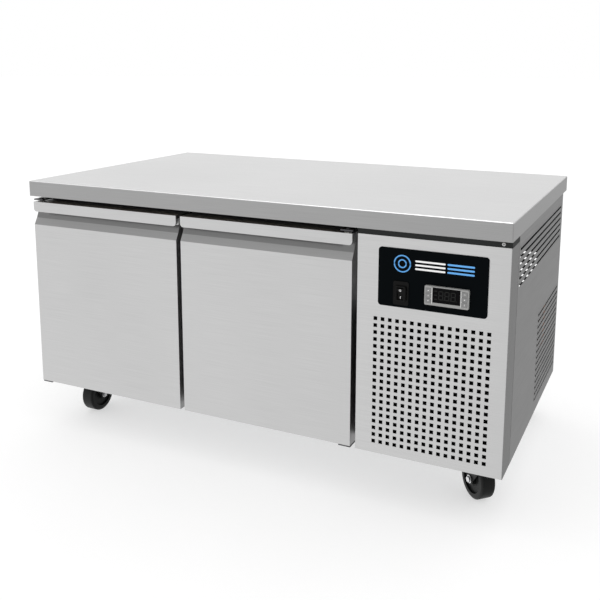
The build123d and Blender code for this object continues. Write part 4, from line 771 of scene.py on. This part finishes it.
# ------------------------------------------------------------------ casters
CASTERS = ("front_left", "front_right", "rear_left", "rear_right")
NUT_SEAT = 23.0 * MM  # from the wheel's centre, along the axle
AXLE_CORE = 0.1 * MM
WASHER = ((AXLE_CORE, 0), (9 * MM, 0), (9 * MM, 0.8 * MM), (7 * MM, 1.1 * MM))  # radius, height
NUT = ((7 * MM, 0.8 * MM), (7 * MM, 4 * MM), (5.6 * MM, 4.8 * MM), (AXLE_CORE, 4.8 * MM))
TREAD_LINE_OFFSET = 14 * MM
TREAD_LINE_RADIUS = 44.2 * MM
TREAD_LINE_WIRE = 0.7 * MM
HUB_RING_RADII = (16 * MM, 29 * MM)
HUB_RING_OFFSET = 12.6 * MM
HUB_RING_WIRE = 0.8 * MM


def joint_axis(name):
    for joint in frame["record"]["behaviour"]["joints"]:
        if joint["name"] == name:
            return Vector(joint["pos_m"]), Vector(joint["axis"]).normalized()
    raise KeyError(name)


def caster_details(name):
    """Washer and hex nut on each end of the axle, and raised rings on the wheel's tread and faces."""
    centre, axis = joint_axis(f"roll_{name}")
    nuts = bmesh.new()
    rings = bmesh.new()
    for side in (-1, 1):
        out = axis * side
        start = centre + out * NUT_SEAT
        add_turned(nuts, WASHER, start, out)
        add_turned(nuts, NUT, start, out, steps=6)
        shoulder = circle(centre + out * TREAD_LINE_OFFSET, TREAD_LINE_RADIUS, axis, 72)
        add_tube(rings, shoulder, TREAD_LINE_WIRE, closed=True)
        for radius in HUB_RING_RADII:
            add_tube(rings, circle(centre + out * HUB_RING_OFFSET, radius, axis), HUB_RING_WIRE, closed=True)
    new_piece(f"caster_nuts_{name}", nuts, f"fork_{name}", "bright", smooth=False)
    new_piece(f"caster_rings_{name}", rings, f"wheel_{name}", "tyre")


# ------------------------------------------------------------------ gaskets and filter
RIB_INSETS = (4 * MM, 9.5 * MM)  # from the gasket's edge
RIB_CORNER = 6 * MM
RIB_SINK = 0.35 * MM
RIB_WIRE = 0.6 * MM


def gasket_ribs(side):
    """Two soft ribs round the gasket's face."""
    low, high = (Vector(corner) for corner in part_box(f"door_{side}_gasket"))
    ribs = bmesh.new()
    y = high.y - RIB_SINK
    for inset in RIB_INSETS:
        loop = rounded_loop(low.x + inset, high.x - inset, low.z + inset, high.z - inset, RIB_CORNER, y)
        add_tube(ribs, loop, RIB_WIRE, closed=True, sides=6)
    new_piece(f"door_{side}_gasket_ribs", ribs, f"door_{side}", "gasket")


def rounded_loop(x0, x1, z0, z1, radius, y, steps=6):
    """Rounded rectangle in a plane of constant Y."""
    corners = (
        (x1 - radius, z1 - radius, 0.0),
        (x0 + radius, z1 - radius, 0.5 * math.pi),
        (x0 + radius, z0 + radius, math.pi),
        (x1 - radius, z0 + radius, 1.5 * math.pi),
    )
    points = []
    for x, z, start in corners:
        for step in range(steps + 1):
            angle = start + 0.5 * math.pi * step / steps
            points.append(Vector((x + radius * math.cos(angle), y, z + radius * math.sin(angle))))
    return points


FILTER_LEFT = 25 * MM  # from the front panel's edges
FILTER_RIGHT = 22 * MM
FILTER_BOTTOM = 14 * MM
FILTER_UNDER_PLATE = 12 * MM
FILTER_BEHIND = 5 * MM  # behind the panel's face
FILTER_CORNER = 6 * MM
FELT_THICKNESS = 1.5 * MM
FILTER_FRAME_WIRE = 1.6 * MM
FILTER_CROSS_WIRE = 1.2 * MM
FILTER_CROSS_BEHIND = 2 * MM
FILTER_CROSS_SHARES = (-0.5, 0.0, 0.5)  # of the filter's half width


def front_filter():
    """Black felt air filter in a wire frame with upright wires, behind the grille; its near-black felt also
    paints in the shade seen through the grille holes.
    """
    low, high = (Vector(corner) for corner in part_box("front_panel"))
    plate_low = Vector(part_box("control_plate")[0])
    x0, x1 = low.x + FILTER_LEFT, high.x - FILTER_RIGHT
    z0, z1 = low.z + FILTER_BOTTOM, plate_low.z - FILTER_UNDER_PLATE
    seat = Matrix.Translation(((x0 + x1) / 2, low.y + FILTER_BEHIND, (z0 + z1) / 2))
    half_width = (x1 - x0) / 2
    half_height = (z1 - z0) / 2
    edge = rounded_loop(-half_width, half_width, -half_height, half_height, FILTER_CORNER, 0.0)
    felt = bmesh.new()
    add_slab(felt, [(point.x, point.z) for point in edge], FELT_THICKNESS, seat)
    new_piece("front_filter_felt", felt, "cabinet", "felt", smooth=False)
    wires = bmesh.new()
    add_tube(wires, [seat @ point for point in edge], FILTER_FRAME_WIRE, closed=True)
    for share in FILTER_CROSS_SHARES:
        heights = (-half_height, half_height)
        ends = [seat @ Vector((share * half_width, FILTER_CROSS_BEHIND, z)) for z in heights]
        add_tube(wires, ends, FILTER_CROSS_WIRE)
    new_piece("front_filter_wires", wires, "cabinet", "black_paint")


# ------------------------------------------------------------------ whole scene
make_camera()
make_world()
make_floor()
bpy.context.scene.view_settings.view_transform = "Standard"
finishes = make_finishes()
dress_nodes()
control_emblem()
rocker_marks()
display_digits()
key_marks()
controller_ridges()
screw_recess_painted_shade()
for caster in CASTERS:
    caster_details(caster)
for side in ("left", "right"):
    gasket_ribs(side)
front_filter()
